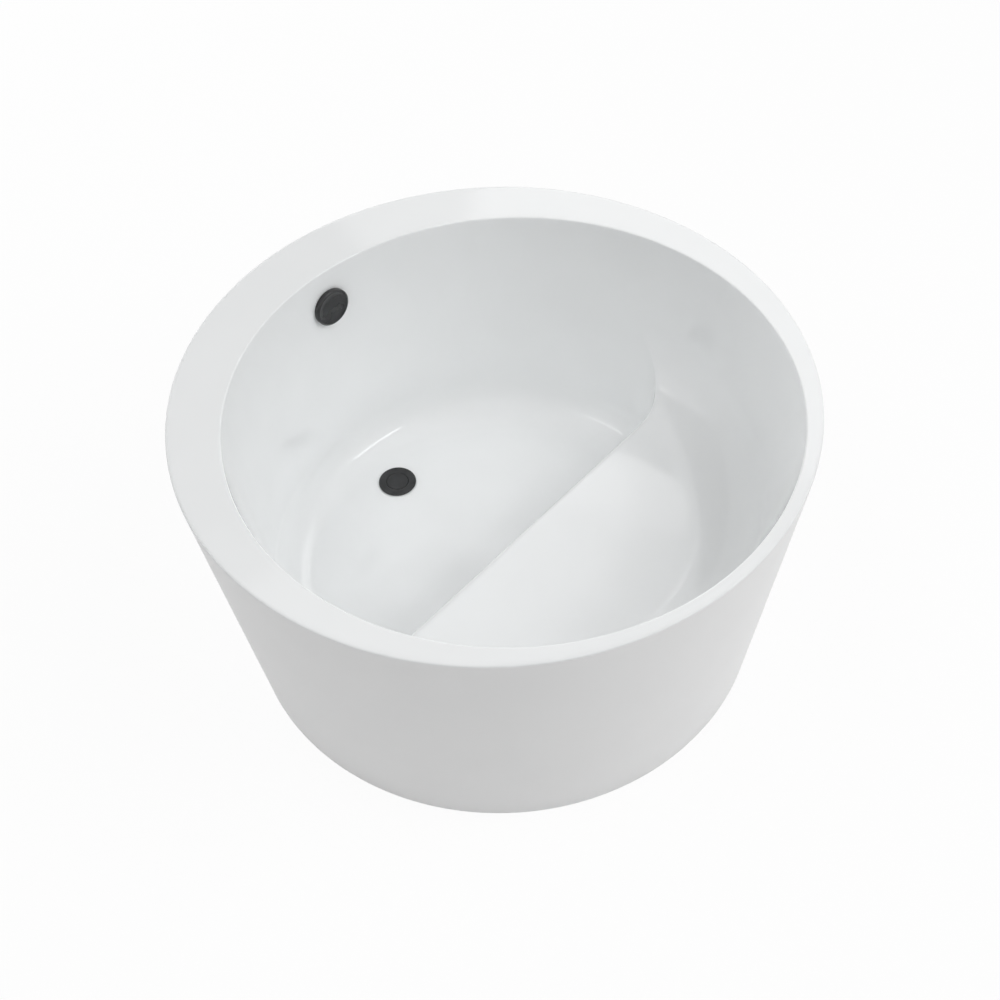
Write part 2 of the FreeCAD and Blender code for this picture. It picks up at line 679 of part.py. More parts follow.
def bracket_screws():
    screws = []
    low = value("skirt_lift + skirt_wall + bracket_thick")
    end = value("rail_half + cap_flange + bracket_thick")
    for number, (sign, side) in enumerate(CORNERS, start=1):
        down = screw("flange_screw_%d" % number, "bracket_thick + skirt_wall")
        down.Placement = FreeCAD.Placement(
            FreeCAD.Vector(value(sign + "bracket_screw"), value(side + "rail_offset"), low),
            FreeCAD.Rotation(FreeCAD.Vector(1, 0, 0), 180))
        inward = screw("end_screw_%d" % number, "bracket_thick + cap_flange + screw_bite")
        outward = 1 if sign == "" else -1
        inward.Placement = FreeCAD.Placement(
            FreeCAD.Vector(outward * end, value(side + "rail_offset"), value(RAIL_AXIS)),
            FreeCAD.Rotation(FreeCAD.Vector(0, 0, 1), FreeCAD.Vector(-outward, 0, 0)))
        screws += [down, inward]
    return group("bracket_screws", screws)


keep(group("skirt_brackets", [skirt_bracket("skirt_bracket_%d" % number, *corner)
                              for number, corner in enumerate(CORNERS, 1)]), "skirt_brackets")
keep(bracket_screws(), "bracket_screws")


# Levelling feet: welded nuts under the rails, lock nuts below them, threaded studs in swivel pads

def nuts(name, top):
    solids = []
    for number, (x, y) in enumerate(FEET, start=1):
        blank = hexagon("%s_%d_blank" % (name, number), "nut_circle", "nut_height",
                        x, y, top + " - nut_height")
        bore = cylinder("%s_%d_bore" % (name, number), "stud_rad + run_fit", "3 * nut_height", x, y,
                        top + " - 2 * nut_height")
        solids.append(cut_from("%s_%d" % (name, number), blank, [bore]))
    return group(name, solids)


keep(nuts("rail_nuts", RAIL_LOW), "rail_nuts")
keep(nuts("lock_nuts", RAIL_LOW + " - nut_height"), "lock_nuts")

for number, (x, y) in enumerate(FEET, start=1):
    collar_top = RAIL_LOW + " - 2 * nut_height - move_gap"
    stud_top = RAIL_TOP + " - stud_top_gap"
    point = "stud_rad / 6"
    thread = turned("stud_thread_%d" % number, [
        ("0", "socket_floor"), ("stud_rad", "socket_floor"), ("stud_rad", stud_top + " - " + point),
        ("stud_rad - " + point, stud_top), ("0", stud_top)])
    collar = hexagon("stud_collar_%d" % number, "nut_circle", "collar_height",
                     x, y, collar_top + " - collar_height")
    keep(joined("foot_stud_%d" % number, move(thread, x, y), collar), "foot_stud_%d" % number)
    socket = "(stud_rad + seat_fit)"
    pad = turned("foot_pad_%d" % number, [
        ("0", "0"), ("pad_rad", "0"), ("pad_rad", "pad_edge"),
        ("socket_rad + pad_edge", "pad_edge + pad_edge / 2"), ("socket_rad", "pad_height"),
        (socket, "pad_height"), (socket, "socket_floor"), ("0", "socket_floor")])
    keep(move(pad, x, y), "foot_pad_%d" % number)


# Drain: heights are counted from the floor's surface

CROWN = "(gasket_thick + flange_crown)"
STOPPER_TOP = "(gasket_thick + flange_crown - stopper_sink)"
STOPPER_LOW = "(gasket_thick + flange_crown - stopper_sink - stopper_thick)"
SPIDER_TOP = "(spider_height - throat_depth)"


def drain_flange():
    turned_part = turned("drain_flange_ring", [
        ("throat_bore", "-throat_depth"), ("throat_rad", "-throat_depth"), ("throat_rad", "gasket_thick"),
        ("flange_rad", "gasket_thick"), ("flange_rad", "gasket_thick + flange_edge"),
        ("flange_rad - flange_edge", CROWN), ("flange_flat_rad", CROWN), ("dish_rad", "gasket_thick"),
        ("throat_bore", "gasket_thick + throat_bore - dish_rad")])
    hub = ring("drain_hub", "cartridge_rad + seat_fit", "hub_rad", "-throat_depth", SPIDER_TOP)
    whole = joined("drain_flange_hub", put(turned_part, DRAIN, FLOOR), put(hub, DRAIN, FLOOR))
    for number in range(3):
        arm = box("spider_arm_%d" % number, "(throat_bore + throat_rad) / 2 - (cartridge_rad + hub_rad) / 2",
                  "spider_arm", "spider_height")
        start = FreeCAD.Vector(value("(cartridge_rad + hub_rad) / 2"), -value("spider_arm") / 2, 0)
        turn = FreeCAD.Placement(FreeCAD.Vector(), FreeCAD.Rotation(FreeCAD.Vector(0, 0, 1), number * 120))
        arm.Placement = (waste_place(DRAIN, FLOOR - value("throat_depth")) * turn
                         * FreeCAD.Placement(start, FreeCAD.Rotation()))
        whole = joined("drain_flange_%d" % number, whole, arm)
    return whole


keep(drain_flange(), "drain_flange")
keep(put(ring("drain_gasket", "gasket_in", "gasket_out", "0", "gasket_thick"), DRAIN, FLOOR), "drain_gasket")
keep(put(turned("plug_cartridge", [
    ("stem_rad + run_fit", SPIDER_TOP + " - cartridge_height"),
    ("cartridge_rad", SPIDER_TOP + " - cartridge_height"),
    ("cartridge_rad", SPIDER_TOP), ("cartridge_head_rad", SPIDER_TOP),
    ("cartridge_head_rad", SPIDER_TOP + " + cartridge_head"),
    ("stem_rad + run_fit", SPIDER_TOP + " + cartridge_head")]),
    DRAIN, FLOOR), "plug_cartridge")

# the stopper, which slides in the cartridge
keep(put(turned("drain_cap", [
    ("0", STOPPER_LOW), ("stopper_rad - stopper_dish", STOPPER_LOW),
    ("stopper_rad", STOPPER_LOW + " + stopper_dish"),
    ("stopper_rad", STOPPER_TOP + " - stopper_dish"), ("stopper_rad - stopper_dish", STOPPER_TOP),
    ("0", STOPPER_TOP + " - stopper_dish")]), DRAIN, FLOOR), "drain_cap")
keep(put(ring("cap_seal", "seal_in", "seal_rad", STOPPER_LOW + " - seal_height", STOPPER_LOW), DRAIN, FLOOR),
     "cap_seal")
keep(put(turned("cap_stem", [
    ("0", STOPPER_LOW + " - stem_length"), ("stem_rad", STOPPER_LOW + " - stem_length"),
    ("stem_rad", STOPPER_LOW), ("0", STOPPER_LOW)]), DRAIN, FLOOR), "cap_stem")


# Waste: gasket and body under the floor, outlet tail, level pipe, elbow and upright pipe

BODY_TOP = "(-shell_wall - under_gasket)"
BODY_LOW = "(-shell_wall - under_gasket - body_depth)"
TAIL_SOCKET = "(tail_rad + tail_shoulder + seat_fit)"
SOCKET_MOUTH = "(floor_level - shell_wall - under_gasket - body_depth - body_foot)"
PIPE_SOCKET = "(pipe_rad + seat_fit)"
SOCKET_OUT = "(pipe_rad + seat_fit + socket_wall)"
RUN = value("run_level")
ELBOW = -value("elbow_reach")
LEVEL_OUT = (-1, 0, 0)
LEVEL_IN = (1, 0, 0)


def drain_body():
    foot = BODY_LOW + " - body_foot"
    pot = put(turned("drain_body_pot", [
        ("body_bore", BODY_TOP), ("body_flange_rad", BODY_TOP),
        ("body_flange_rad", BODY_TOP + " - body_flange"), ("body_rad", BODY_TOP + " - body_flange"),
        ("body_rad", BODY_LOW), (TAIL_SOCKET + " + socket_wall", BODY_LOW),
        (TAIL_SOCKET + " + socket_wall", foot), (TAIL_SOCKET, foot),
        (TAIL_SOCKET, BODY_LOW + " + body_floor"),
        ("body_bore", BODY_LOW + " + body_floor")]), DRAIN, FLOOR)
    arm = put(cylinder("drain_body_arm", SOCKET_OUT, "side_reach"), DRAIN, RUN, LEVEL_OUT)
    core = put(cylinder("drain_body_core", "body_bore", "body_depth - body_floor"), DRAIN,
               FLOOR + value(BODY_LOW + " + body_floor"))
    bore = put(cylinder("drain_body_bore", "pipe_bore", "side_reach + cut_over"), DRAIN, RUN, LEVEL_OUT)
    socket = put(cylinder("drain_body_socket", PIPE_SOCKET, "socket_deep + cut_over"),
                 DRAIN - value("side_reach - socket_deep"), RUN, LEVEL_OUT)
    return cut_from("drain_body", joined("drain_body_whole", pot, arm), [core, bore, socket])


def pipe(name, start, end):
    # a length of pipe between two places in the waste plane
    along = FreeCAD.Vector(end[0] - start[0], 0, end[1] - start[1])
    outer = drive(doc.addObject("Part::Cylinder", name + "_outer"), Radius="pipe_rad")
    inner = drive(doc.addObject("Part::Cylinder", name + "_inner"), Radius="pipe_bore")
    for solid in (outer, inner):
        solid.Height = along.Length
        put(solid, start[0], start[1], tuple(along))
    return cut_from(name, outer, [inner])


def stepped_point(start, direction, distance):
    return start[0] + direction[0] * distance, start[1] + direction[2] * distance


def socket_arm(name, centre, direction, length, outer=SOCKET_OUT):
    # one arm of an elbow: its outside, its bore and the socket at its end
    arm = put(cylinder(name + "_arm", outer, length), *centre, direction)
    bore = put(cylinder(name + "_bore", "pipe_bore", length + " + cut_over"), *centre, direction)
    start = stepped_point(centre, direction, value(length + " - socket_deep"))
    socket = put(cylinder(name + "_socket", PIPE_SOCKET, "socket_deep + cut_over"), *start, direction)
    return arm, [bore, socket]


def ball(name, radius, centre):
    return put(drive(doc.addObject("Part::Sphere", name), Radius=radius), *centre)


def waste_elbow():
    level_arm, level_cuts = socket_arm("waste_elbow_level", LOWER, LEVEL_IN, "elbow_arm")
    up_arm, up_cuts = socket_arm("waste_elbow_up", LOWER, PIPE_UP, "elbow_arm")
    knee = ball("waste_elbow_knee", SOCKET_OUT, LOWER)
    hollow = ball("waste_elbow_hollow", "pipe_bore", LOWER)
    whole = joined("waste_elbow_whole", joined("waste_elbow_arms", level_arm, knee), up_arm)
    return cut_from("waste_elbow", whole, [hollow] + level_cuts + up_cuts)


def overflow_elbow():
    face = value("shell_wall + seat_fit + back_gasket")
    plate = put(cylinder("overflow_elbow_plate", "elbow_flange_rad", "elbow_flange"),
                *off_wall(-face), WALL_BACK)
    thread_out = "(sleeve_rad + seat_fit + socket_wall)"
    neck = put(cylinder("overflow_elbow_neck", thread_out, "elbow_flange + elbow_back"),
               *off_wall(-face), WALL_BACK)
    knee = ball("overflow_elbow_knee", thread_out, UPPER)
    arm, cuts = socket_arm("overflow_elbow_down", UPPER, PIPE_DOWN, "elbow_arm + socket_wall")
    thread = put(cylinder("overflow_elbow_thread", "sleeve_rad + seat_fit", "elbow_flange + sleeve_reach"),
                 *off_wall(-face), WALL_BACK)
    bore = put(cylinder("overflow_elbow_bore", "pipe_bore", "elbow_flange + elbow_back"),
               *off_wall(-face), WALL_BACK)
    hollow = ball("overflow_elbow_hollow", "pipe_bore", UPPER)
    whole = joined("overflow_elbow_whole", joined("overflow_elbow_head", plate, neck),
                   joined("overflow_elbow_tail", knee, arm))
    return cut_from("overflow_elbow", whole, [thread, bore, hollow] + cuts)


LOWER = (ELBOW, RUN)
UPPER = off_wall(-value("shell_wall + seat_fit + back_gasket + elbow_flange + elbow_back"))
pipe_lean = FreeCAD.Vector(UPPER[0] - LOWER[0], 0, UPPER[1] - LOWER[1]).normalize()
PIPE_UP = tuple(pipe_lean)
PIPE_DOWN = tuple(-pipe_lean)

keep(put(ring("under_gasket", "gasket_in", "body_flange_rad", BODY_TOP, BODY_TOP + " + under_gasket"),
         DRAIN, FLOOR),
     "under_gasket")
keep(drain_body(), "drain_body")
keep(put(turned("outlet_tail", [
    ("tail_bore", "tail_end"), ("tail_rad", "tail_end"), ("tail_rad", SOCKET_MOUTH + " + shoulder_in"),
    ("tail_rad + tail_shoulder", SOCKET_MOUTH + " + shoulder_in"),
    ("tail_rad + tail_shoulder", SOCKET_MOUTH + " + tail_grip - seat_fit"),
    ("tail_bore", SOCKET_MOUTH + " + tail_grip - seat_fit")]), DRAIN, 0), "outlet_tail")
side_socket = (DRAIN - value("side_reach - socket_deep + seat_fit"), RUN)
level_socket = (ELBOW + value("elbow_arm - socket_deep + seat_fit"), RUN)
keep(pipe("overflow_run", side_socket, level_socket), "overflow_run")
keep(waste_elbow(), "waste_elbow")
keep(pipe("overflow_pipe", stepped_point(LOWER, PIPE_UP, value("elbow_arm - socket_deep + seat_fit")),
          stepped_point(UPPER, PIPE_DOWN, value("elbow_arm + socket_wall - socket_deep + seat_fit"))),
     "overflow_pipe")
keep(overflow_elbow(), "overflow_elbow")

# slip nuts and washers on the four socket ends
SOCKET_ENDS = [
    ((DRAIN - value("side_reach"), RUN), LEVEL_OUT),
    ((ELBOW + value("elbow_arm"), RUN), LEVEL_IN),
    (stepped_point(LOWER, PIPE_UP, value("elbow_arm")), PIPE_UP),
    (stepped_point(UPPER, PIPE_DOWN, value("elbow_arm + socket_wall")), PIPE_DOWN),
]


def slip_nut(number, end, direction):
    skirt_end = "slip_washer + slip_nut_lip - slip_nut_length"
    lip_end = "slip_washer + slip_nut_lip"
    edge = "slip_nut_lip / 2"
    nut = turned("slip_nut_%d" % number, [
        (SOCKET_OUT + " + seat_fit", skirt_end), ("slip_nut_rad", skirt_end),
        ("slip_nut_rad", lip_end + " - " + edge), ("slip_nut_rad - " + edge, lip_end),
        (PIPE_SOCKET, lip_end), (PIPE_SOCKET, "slip_washer"), (SOCKET_OUT + " + seat_fit", "slip_washer")])
    return put(nut, *end, direction)


SLIP_NUTS = [slip_nut(number, *place) for number, place in enumerate(SOCKET_ENDS, 1)]
keep(group("slip_nuts", SLIP_NUTS), "slip_nuts")
keep(group("slip_washers", [put(ring("slip_washer_%d" % number, PIPE_SOCKET, SOCKET_OUT, "0", "slip_washer"),
                                *place[0], place[1])
                            for number, place in enumerate(SOCKET_ENDS, 1)]), "slip_washers")


# Overflow: heights are counted from the wall's surface along its normal

keep(put(ring("overflow_gasket", "overflow_hole_rad + seat_fit", "elbow_flange_rad",
              "-shell_wall - seat_fit - back_gasket", "-shell_wall - seat_fit"), *off_wall(0), WALL_FACE),
     "overflow_gasket")
RING_BACK = "(%s + seat_fit)" % bulge("ring_rad")
RING_FRONT = "(%s + seat_fit + ring_thick)" % bulge("ring_rad")
SLEEVE_END = "(-shell_wall - back_gasket - elbow_flange - sleeve_reach)"
keep(put(turned("overflow_ring", [
    ("sleeve_bore", SLEEVE_END), ("sleeve_rad", SLEEVE_END), ("sleeve_rad", RING_BACK),
    ("ring_rad", RING_BACK),
    ("ring_rad", RING_FRONT), ("sleeve_bore", RING_FRONT)]), *off_wall(0), WALL_FACE), "overflow_ring")


def overflow_cover():
    back = "(%s + seat_fit)" % bulge("cover_rad")
    front = "(%s + cover_depth)" % back
    grip = "(ring_rad + seat_fit)"
    cup = put(turned("overflow_cup", [
        (grip, back), ("cover_rad", back), ("cover_rad", front + " - cover_round"),
        ("cover_rad - cover_round", front), ("0", front), ("0", front + " - cover_wall"),
        ("cover_rad - cover_wall", front + " - cover_wall"), ("cover_rad - cover_wall", RING_FRONT),
        (grip, RING_FRONT)]),
        *off_wall(0), WALL_FACE)
    intake = box("overflow_intake", "2 * cover_rad", "intake_width", "2 * intake_height")
    # the intake opens at the cover's lowest edge, against the wall
    across = FreeCAD.Placement(FreeCAD.Vector(value("cover_rad / 2"), -value("intake_width") / 2,
                                              -value("intake_height")), FreeCAD.Rotation())
    intake.Placement = waste_place(*off_wall(value(back)), WALL_FACE) * across
    return cut_from("overflow_cover", cup, [intake])


keep(overflow_cover(), "overflow_cover")


# Everything is checked before anything is written

doc.recompute()
for obj in doc.Objects:
    if "Invalid" in obj.State or "Error" in obj.State:
        raise RuntimeError("%s failed: %s" % (obj.Label, obj.State))
for obj in NODES:
    if obj.Shape.isNull() or not obj.Shape.isValid() or not obj.Shape.Solids:
        raise RuntimeError("%s has no sound solid" % obj.Label)
for obj in NODES:
    obj.Shape.exportStep("parts/%s.step" % obj.Label)
    box_of = obj.Shape.optimalBoundingBox()
    print("%-20s %2d solids %10.0f  x %.1f %.1f  y %.1f %.1f  z %.1f %.1f" % (
        obj.Label, len(obj.Shape.Solids), obj.Shape.Volume,
        box_of.XMin, box_of.XMax, box_of.YMin, box_of.YMax, box_of.ZMin, box_of.ZMax))
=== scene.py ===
import math
import bpy
import bmesh
import numpy as np
from mathutils import Matrix, Vector


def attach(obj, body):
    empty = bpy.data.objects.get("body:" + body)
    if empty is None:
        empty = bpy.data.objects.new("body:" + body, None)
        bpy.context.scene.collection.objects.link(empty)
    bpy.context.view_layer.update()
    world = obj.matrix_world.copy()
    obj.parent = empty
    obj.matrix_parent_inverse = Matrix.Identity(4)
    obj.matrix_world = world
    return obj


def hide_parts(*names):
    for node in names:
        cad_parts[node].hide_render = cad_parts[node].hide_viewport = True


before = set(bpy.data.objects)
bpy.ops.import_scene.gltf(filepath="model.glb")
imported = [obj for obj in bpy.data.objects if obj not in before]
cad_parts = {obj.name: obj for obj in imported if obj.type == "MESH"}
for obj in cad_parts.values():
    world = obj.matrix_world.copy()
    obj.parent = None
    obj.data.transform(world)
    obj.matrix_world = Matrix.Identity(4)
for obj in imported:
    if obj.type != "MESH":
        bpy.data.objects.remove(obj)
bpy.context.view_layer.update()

bl_info = {
    "name": "Round Bathtub",
    "version": (1, 0, 0),
    "blender": (4, 5, 0),
    "location": "3D View > Sidebar > Bathtub",
    "description": "Dresses a round free-standing bathtub: white shell, black drain and overflow, "
                   "cradle and pipes",
    "category": "Object",
}

# The tub's frame: floor at z 0, the rim's centre on the axis, +X towards the seat, metres.

# Basin: the rays' start above the seat, halvings of each ray, and samples along the inner and outer wall
EYE_ABOVE_SEAT = 0.17
HALVINGS = 26
INNER_SAMPLES = 900
OUTER_SAMPLES = 260
# Spacing of the fine samples along a column, and how rows draw together where the column bends
FINE_STEP = 0.001
BEND_PULL = 0.05
BEND_SPREAD = 0.002
# Meridians draw together about the seat's ends: where, over what spread, and by how much
SEAT_END = math.radians(62)
SEAT_END_SPREAD = math.radians(14)
SEAT_END_PULL = 1.6
# Width of the rim's outer edge that wears the outside's finish, where faces look up by less than this share
EDGE_BAND = 0.012
UPRIGHT = 0.1
# Corners closer than this are made one
MERGE = 0.00001

# Holes in the basin for the drain and the overflow, and the depth of the tool that cuts them
DRAIN_HOLE = 0.0255
OVERFLOW_HOLE = 0.026
HOLE_DEPTH = 0.05

# Skirt: clearance to the basin, height of the tongue's root, rounding and facets
SKIRT_FIT = 0.0001
TONGUE_ROOT = 0.014
FOOT_ROUND = 0.0012
SKIRT_FACETS = 360
SKIRT_RINGS = 8

# Fittings: facets of their turned pieces, and the wall's radius where the overflow sits
FACETS = 128
WALL_AT_OVERFLOW = 0.5156

# Stage: the floor disc and its drop below the tub, and the height that lamps and card face
FLOOR_RADIUS = 9
FLOOR_DROP = 0.0004
STAGE_MIDDLE = 0.3
# Dark card: width and height, then azimuth and elevation in degrees and distance
CARD_SIZE = (3.2, 1.9, 1)
CARD_PLACE = (180, 42, 3.2)
# How far the floor is plain white to the camera and to mirrors, and the even light from all round
FLOOR_GLOW = 0.93
ROOM_LIGHT = 0.14
# Lamps: name, azimuth and elevation in degrees, width, height and distance in metres, watts, seen in gloss
LAMPS = (
    ("right_light", 30, 46, 6.7, 8.1, 9.0, 405, False),
    ("left_light", 240, 66, 4.35, 2.25, 6.0, 82, False),
    ("low_light", 168, 13, 3.9, 2.4, 6.0, 118, False),
    ("front_light", 292, 34, 4.5, 2.4, 6.0, 35, False),
    ("back_light", 112, 38, 3.9, 2.7, 6.0, 42, True),
    ("right_strip", 23, 44, 2.3, 0.5, 6.0, 22, True),
    ("left_strip", 247, 45, 3.3, 0.5, 6.0, 18, True),
)


def colour(name, text, value):
    return bpy.props.FloatVectorProperty(name=name, description=text, default=value, size=3, min=0.0, max=1.0,
                                         subtype="COLOR")


def length(name, text, value):
    return bpy.props.FloatProperty(name=name, description=text, default=value, min=0.0, unit="LENGTH")


def turning(name, text, degrees):
    return bpy.props.FloatProperty(name=name, description=text, default=math.radians(degrees),
                                   subtype="ANGLE")


class ShellSizes(bpy.types.PropertyGroup):
    tub_radius: length("Rim radius", "Outside radius of the rim", 0.5996)
    foot_radius: length("Foot radius", "Outside radius where the skirt's line meets the floor", 0.517)
    height: length("Height", "Floor to the top of the rim", 0.61)
    wall: length("Wall", "Thickness of the basin", 0.006)
    opening_radius: length("Opening radius", "Bathing opening at the rim", 0.529)
    opening_shift: length("Opening shift", "Opening's centre ahead of the axis", 0.047)
    floor_level: length("Floor level", "Top of the foot well's floor", 0.11)
    floor_radius: length("Floor radius", "Where the wall's line meets the floor", 0.45)
    floor_blend: length("Floor blend", "Radius between the floor and what rises from it", 0.08)
    seat_level: length("Seat level", "Top of the seat", 0.28)
    seat_front: length("Seat front", "Seat's front edge ahead of the axis", 0.066)
    seat_turn: turning("Seat turn", "How far the seat's front edge is turned", 1.2)
    seat_blend: length("Seat blend", "Radius between the seat and the wall behind it", 0.15)
    corner_blend: length("Corner blend", "Radius of the well's upright corners", 0.1)
    nose_round: length("Nose round", "Radius of the seat's front edge", 0.012)
    lip_drop: length("Lip drop", "Height of the rim's down-turned edge", 0.028)
    skirt_wall: length("Skirt wall", "Thickness of the skirt", 0.005)
    skirt_lift: length("Skirt lift", "Gap between the skirt and the floor", 0.004)
    flange_width: length("Flange width", "Skirt's inward flange at its foot", 0.032)
    well_centre: length("Well centre", "How far behind the axis the shell's meridians meet", 0.15)
    meridians: bpy.props.IntProperty(name="Meridians", description="Columns of faces round the shell",
                                     default=384, min=48, max=720)


class FittingSizes(bpy.types.PropertyGroup):
    turn: turning("Turn", "How far the plane of drain and overflow is turned from the X axis", -3.7)
    drain_reach: length("Drain reach", "Drain's distance from the axis", 0.321)
    flange_radius: length("Flange radius", "Drain flange", 0.04)
    cap_radius: length("Cap radius", "Stopper's cap", 0.0228)
    overflow_level: length("Overflow level", "Height of the overflow on the wall", 0.525)
    cover_radius: length("Cover radius", "Overflow cover", 0.04)
    cover_depth: length("Cover depth", "How far the cover stands off the wall", 0.011)


class Finishes(bpy.types.PropertyGroup):
    acrylic: colour("Acrylic", "Glossy white of the basin and the rim's top", (0.9, 0.912, 0.915))
    outside: colour("Outside", "Satin white of the skirt and the rim's outer edge", (0.92, 0.922, 0.922))
    fitting: colour("Fitting", "Satin black of drain and overflow", (0.021, 0.0215, 0.0225))
    board: colour("Board", "Particle board under the floor and the seat", (0.52, 0.38, 0.23))
    frame_paint: colour("Frame paint", "Powder coat of the cradle", (0.25, 0.26, 0.27))
    zinc: colour("Zinc", "Plating of screws, nuts and studs", (0.62, 0.63, 0.62))
    pipe: colour("Pipe", "White moulded waste pipes", (0.78, 0.78, 0.75))
    rubber: colour("Rubber", "Seals and washers", (0.03, 0.03, 0.03))
    pad: colour("Pad", "Black moulded feet and end caps", (0.035, 0.035, 0.036))
    brass: colour("Brass", "Turned brass of the stopper's cartridge", (0.62, 0.42, 0.16))


class StageSettings(bpy.types.PropertyGroup):
    lens: bpy.props.FloatProperty(name="Lens", description="Focal length of the camera", default=60.4536,
                                  unit="CAMERA")
    camera_place: bpy.props.FloatVectorProperty(name="Camera place", description="Where the camera stands",
                                                default=(1.49517, -1.52150, 2.82529), subtype="TRANSLATION")
    camera_turn: bpy.props.FloatVectorProperty(
        name="Camera turn", description="Camera's turn about X, Y and Z", subtype="EULER",
        default=tuple(math.radians(degrees) for degrees in (40.33147, 1.80899, 42.27787)))
    floor_colour: colour("Floor colour", "Plain pale floor", (0.9, 0.9, 0.9))


# Helpers for meshes

def object_mode():
    if bpy.context.object and bpy.context.object.mode != "OBJECT":
        bpy.ops.object.mode_set(mode="OBJECT")


def fresh():
    # nothing selected
    object_mode()
    bpy.ops.object.select_all(action="DESELECT")


def only(obj):
    fresh()
    obj.select_set(True)
    bpy.context.view_layer.objects.active = obj
    return obj


def name_piece(name):
    obj = bpy.context.object
    obj.name = name
    obj.data.name = name
    return obj


def apply_all(obj):
    only(obj)
    for modifier in list(obj.modifiers):
        bpy.ops.object.modifier_apply(modifier=modifier.name)
    return obj


def settle(obj, place=None):
    # place goes into the mesh, and the object stays at the origin
    only(obj)
    if place is not None:
        obj.matrix_world = place @ obj.matrix_world
    bpy.ops.object.transform_apply(location=True, rotation=True, scale=True)
    return obj


def smooth(obj, degrees=35):
    only(obj)
    bpy.ops.object.shade_smooth_by_angle(angle=math.radians(degrees))
    return obj


def turned(name, points, steps):
    # a profile of radius and height, drawn by extruding one corner after another, then spun upright
    fresh()
    bpy.ops.mesh.primitive_plane_add(size=0.001, location=(0, 0, 0))
    obj = name_piece(name)
    bpy.ops.object.mode_set(mode="EDIT")
    bpy.ops.mesh.select_mode(type="VERT")
    bpy.ops.mesh.select_all(action="SELECT")
    bpy.ops.mesh.merge(type="CENTER")
    bpy.ops.transform.translate(value=(points[0][0], 0, points[0][1]))
    for (r0, z0), (r1, z1) in zip(points, points[1:]):
        bpy.ops.mesh.extrude_region_move(TRANSFORM_OT_translate={"value": (r1 - r0, 0, z1 - z0)})
    bpy.ops.mesh.select_all(action="SELECT")
    bpy.ops.mesh.spin(steps=steps, angle=2 * math.pi, center=(0, 0, 0), axis=(0, 0, 1))
    bpy.ops.mesh.select_all(action="SELECT")
    bpy.ops.mesh.remove_doubles(threshold=MERGE)
    bpy.ops.mesh.normals_make_consistent(inside=False)
    bpy.ops.object.mode_set(mode="OBJECT")
    return obj


def bevel(obj, width, segments=3, degrees=30):
    modifier = obj.modifiers.new("Bevel", "BEVEL")
    modifier.width = width
    modifier.segments = segments
    modifier.limit_method = "ANGLE"
    modifier.angle_limit = math.radians(degrees)
    return apply_all(obj)


def cut(obj, tool):
    modifier = obj.modifiers.new("Cut", "BOOLEAN")
    modifier.operation = "DIFFERENCE"
    modifier.solver = "EXACT"
    modifier.object = tool
    apply_all(obj)
    bpy.data.objects.remove(tool)
    return obj


def join(obj, others):
    fresh()
    for other in others:
        other.select_set(True)
    obj.select_set(True)
    bpy.context.view_layer.objects.active = obj
    bpy.ops.object.join()
    return obj


# Places of the fittings

def waste_plane():
    return Matrix.Rotation(bpy.context.scene.tub_fittings.turn, 4, "Z")


def drain_place():
    reach = bpy.context.scene.tub_fittings.drain_reach
    level = bpy.context.scene.tub_shell.floor_level
    return waste_plane() @ Matrix.Translation((-reach, 0, level))


def wall_lean():
    shell = bpy.context.scene.tub_shell
    return math.atan((shell.opening_radius - shell.opening_shift - shell.floor_radius)
                     / (shell.height - shell.floor_level))


def overflow_place():
    # the overflow's seat on the wall, with Z along the wall's normal and X down the wall
    shell = bpy.context.scene.tub_shell
    level = bpy.context.scene.tub_fittings.overflow_level
    share = (level - shell.floor_level) / (shell.height - shell.floor_level)
    widening = shell.opening_radius - shell.floor_radius
    reach = shell.opening_shift * share - shell.floor_radius - widening * share
    lean = wall_lean()
    normal = Vector((math.cos(lean), 0, math.sin(lean)))
    turn = Vector((0, 0, 1)).rotation_difference(normal).to_matrix().to_4x4()
    return waste_plane() @ Matrix.Translation((reach, 0, level)) @ turn


# The bathing space as one field: negative in the hollow, positive in the wall

def rolled(one, other, radius):
    # two surfaces, each a distance and its slopes, met by a ball that rolls along both
    k = np.clip(sum(a * b for a, b in zip(one[1], other[1])), -0.999, 0.9999)
    near, far = one[0] + radius, other[0] + radius
    first, second = (near - k * far) / (1 - k * k), (far - k * near) / (1 - k * k)
    reach = np.sqrt(np.maximum(first * near + second * far, 1e-12))
    ball, nearer = (first > 0) & (second > 0), one[0] >= other[0]
    slopes = [np.where(ball, (first * a + second * b) / reach, np.where(nearer, a, b))
              for a, b in zip(one[1], other[1])]
    return np.where(ball, reach - radius, np.maximum(one[0], other[0])), slopes


def inside_out(surface):
    return -surface[0], [-slope for slope in surface[1]]


def hollow(x, y, z):
    shell = bpy.context.scene.tub_shell
    rise = shell.height - shell.floor_level
    share = (z - shell.floor_level) / rise
    across = x - shell.opening_shift * share
    reach = np.maximum(np.hypot(across, y), 1e-6)
    slope = (shell.opening_radius - shell.floor_radius + shell.opening_shift * across / reach) / rise
    scale = 1 / np.sqrt(1 + slope ** 2)
    cone = ((reach - shell.floor_radius - (shell.opening_radius - shell.floor_radius) * share) * scale,
            [across / reach * scale, y / reach * scale, -slope * scale])
    one, zero = np.ones_like(z), np.zeros_like(z)
    cosine, sine = math.cos(shell.seat_turn), math.sin(shell.seat_turn)
    riser = (x * cosine + y * sine - shell.seat_front, [cosine * one, sine * one, zero])
    upright = rolled(cone, riser, shell.corner_blend)
    well = rolled(upright, (shell.floor_level - z, [zero, zero, -one]), shell.floor_blend)
    seat = rolled(cone, (shell.seat_level - z, [zero, zero, -one]), shell.seat_blend)
    return inside_out(rolled(inside_out(well), inside_out(seat), shell.nose_round))[0]


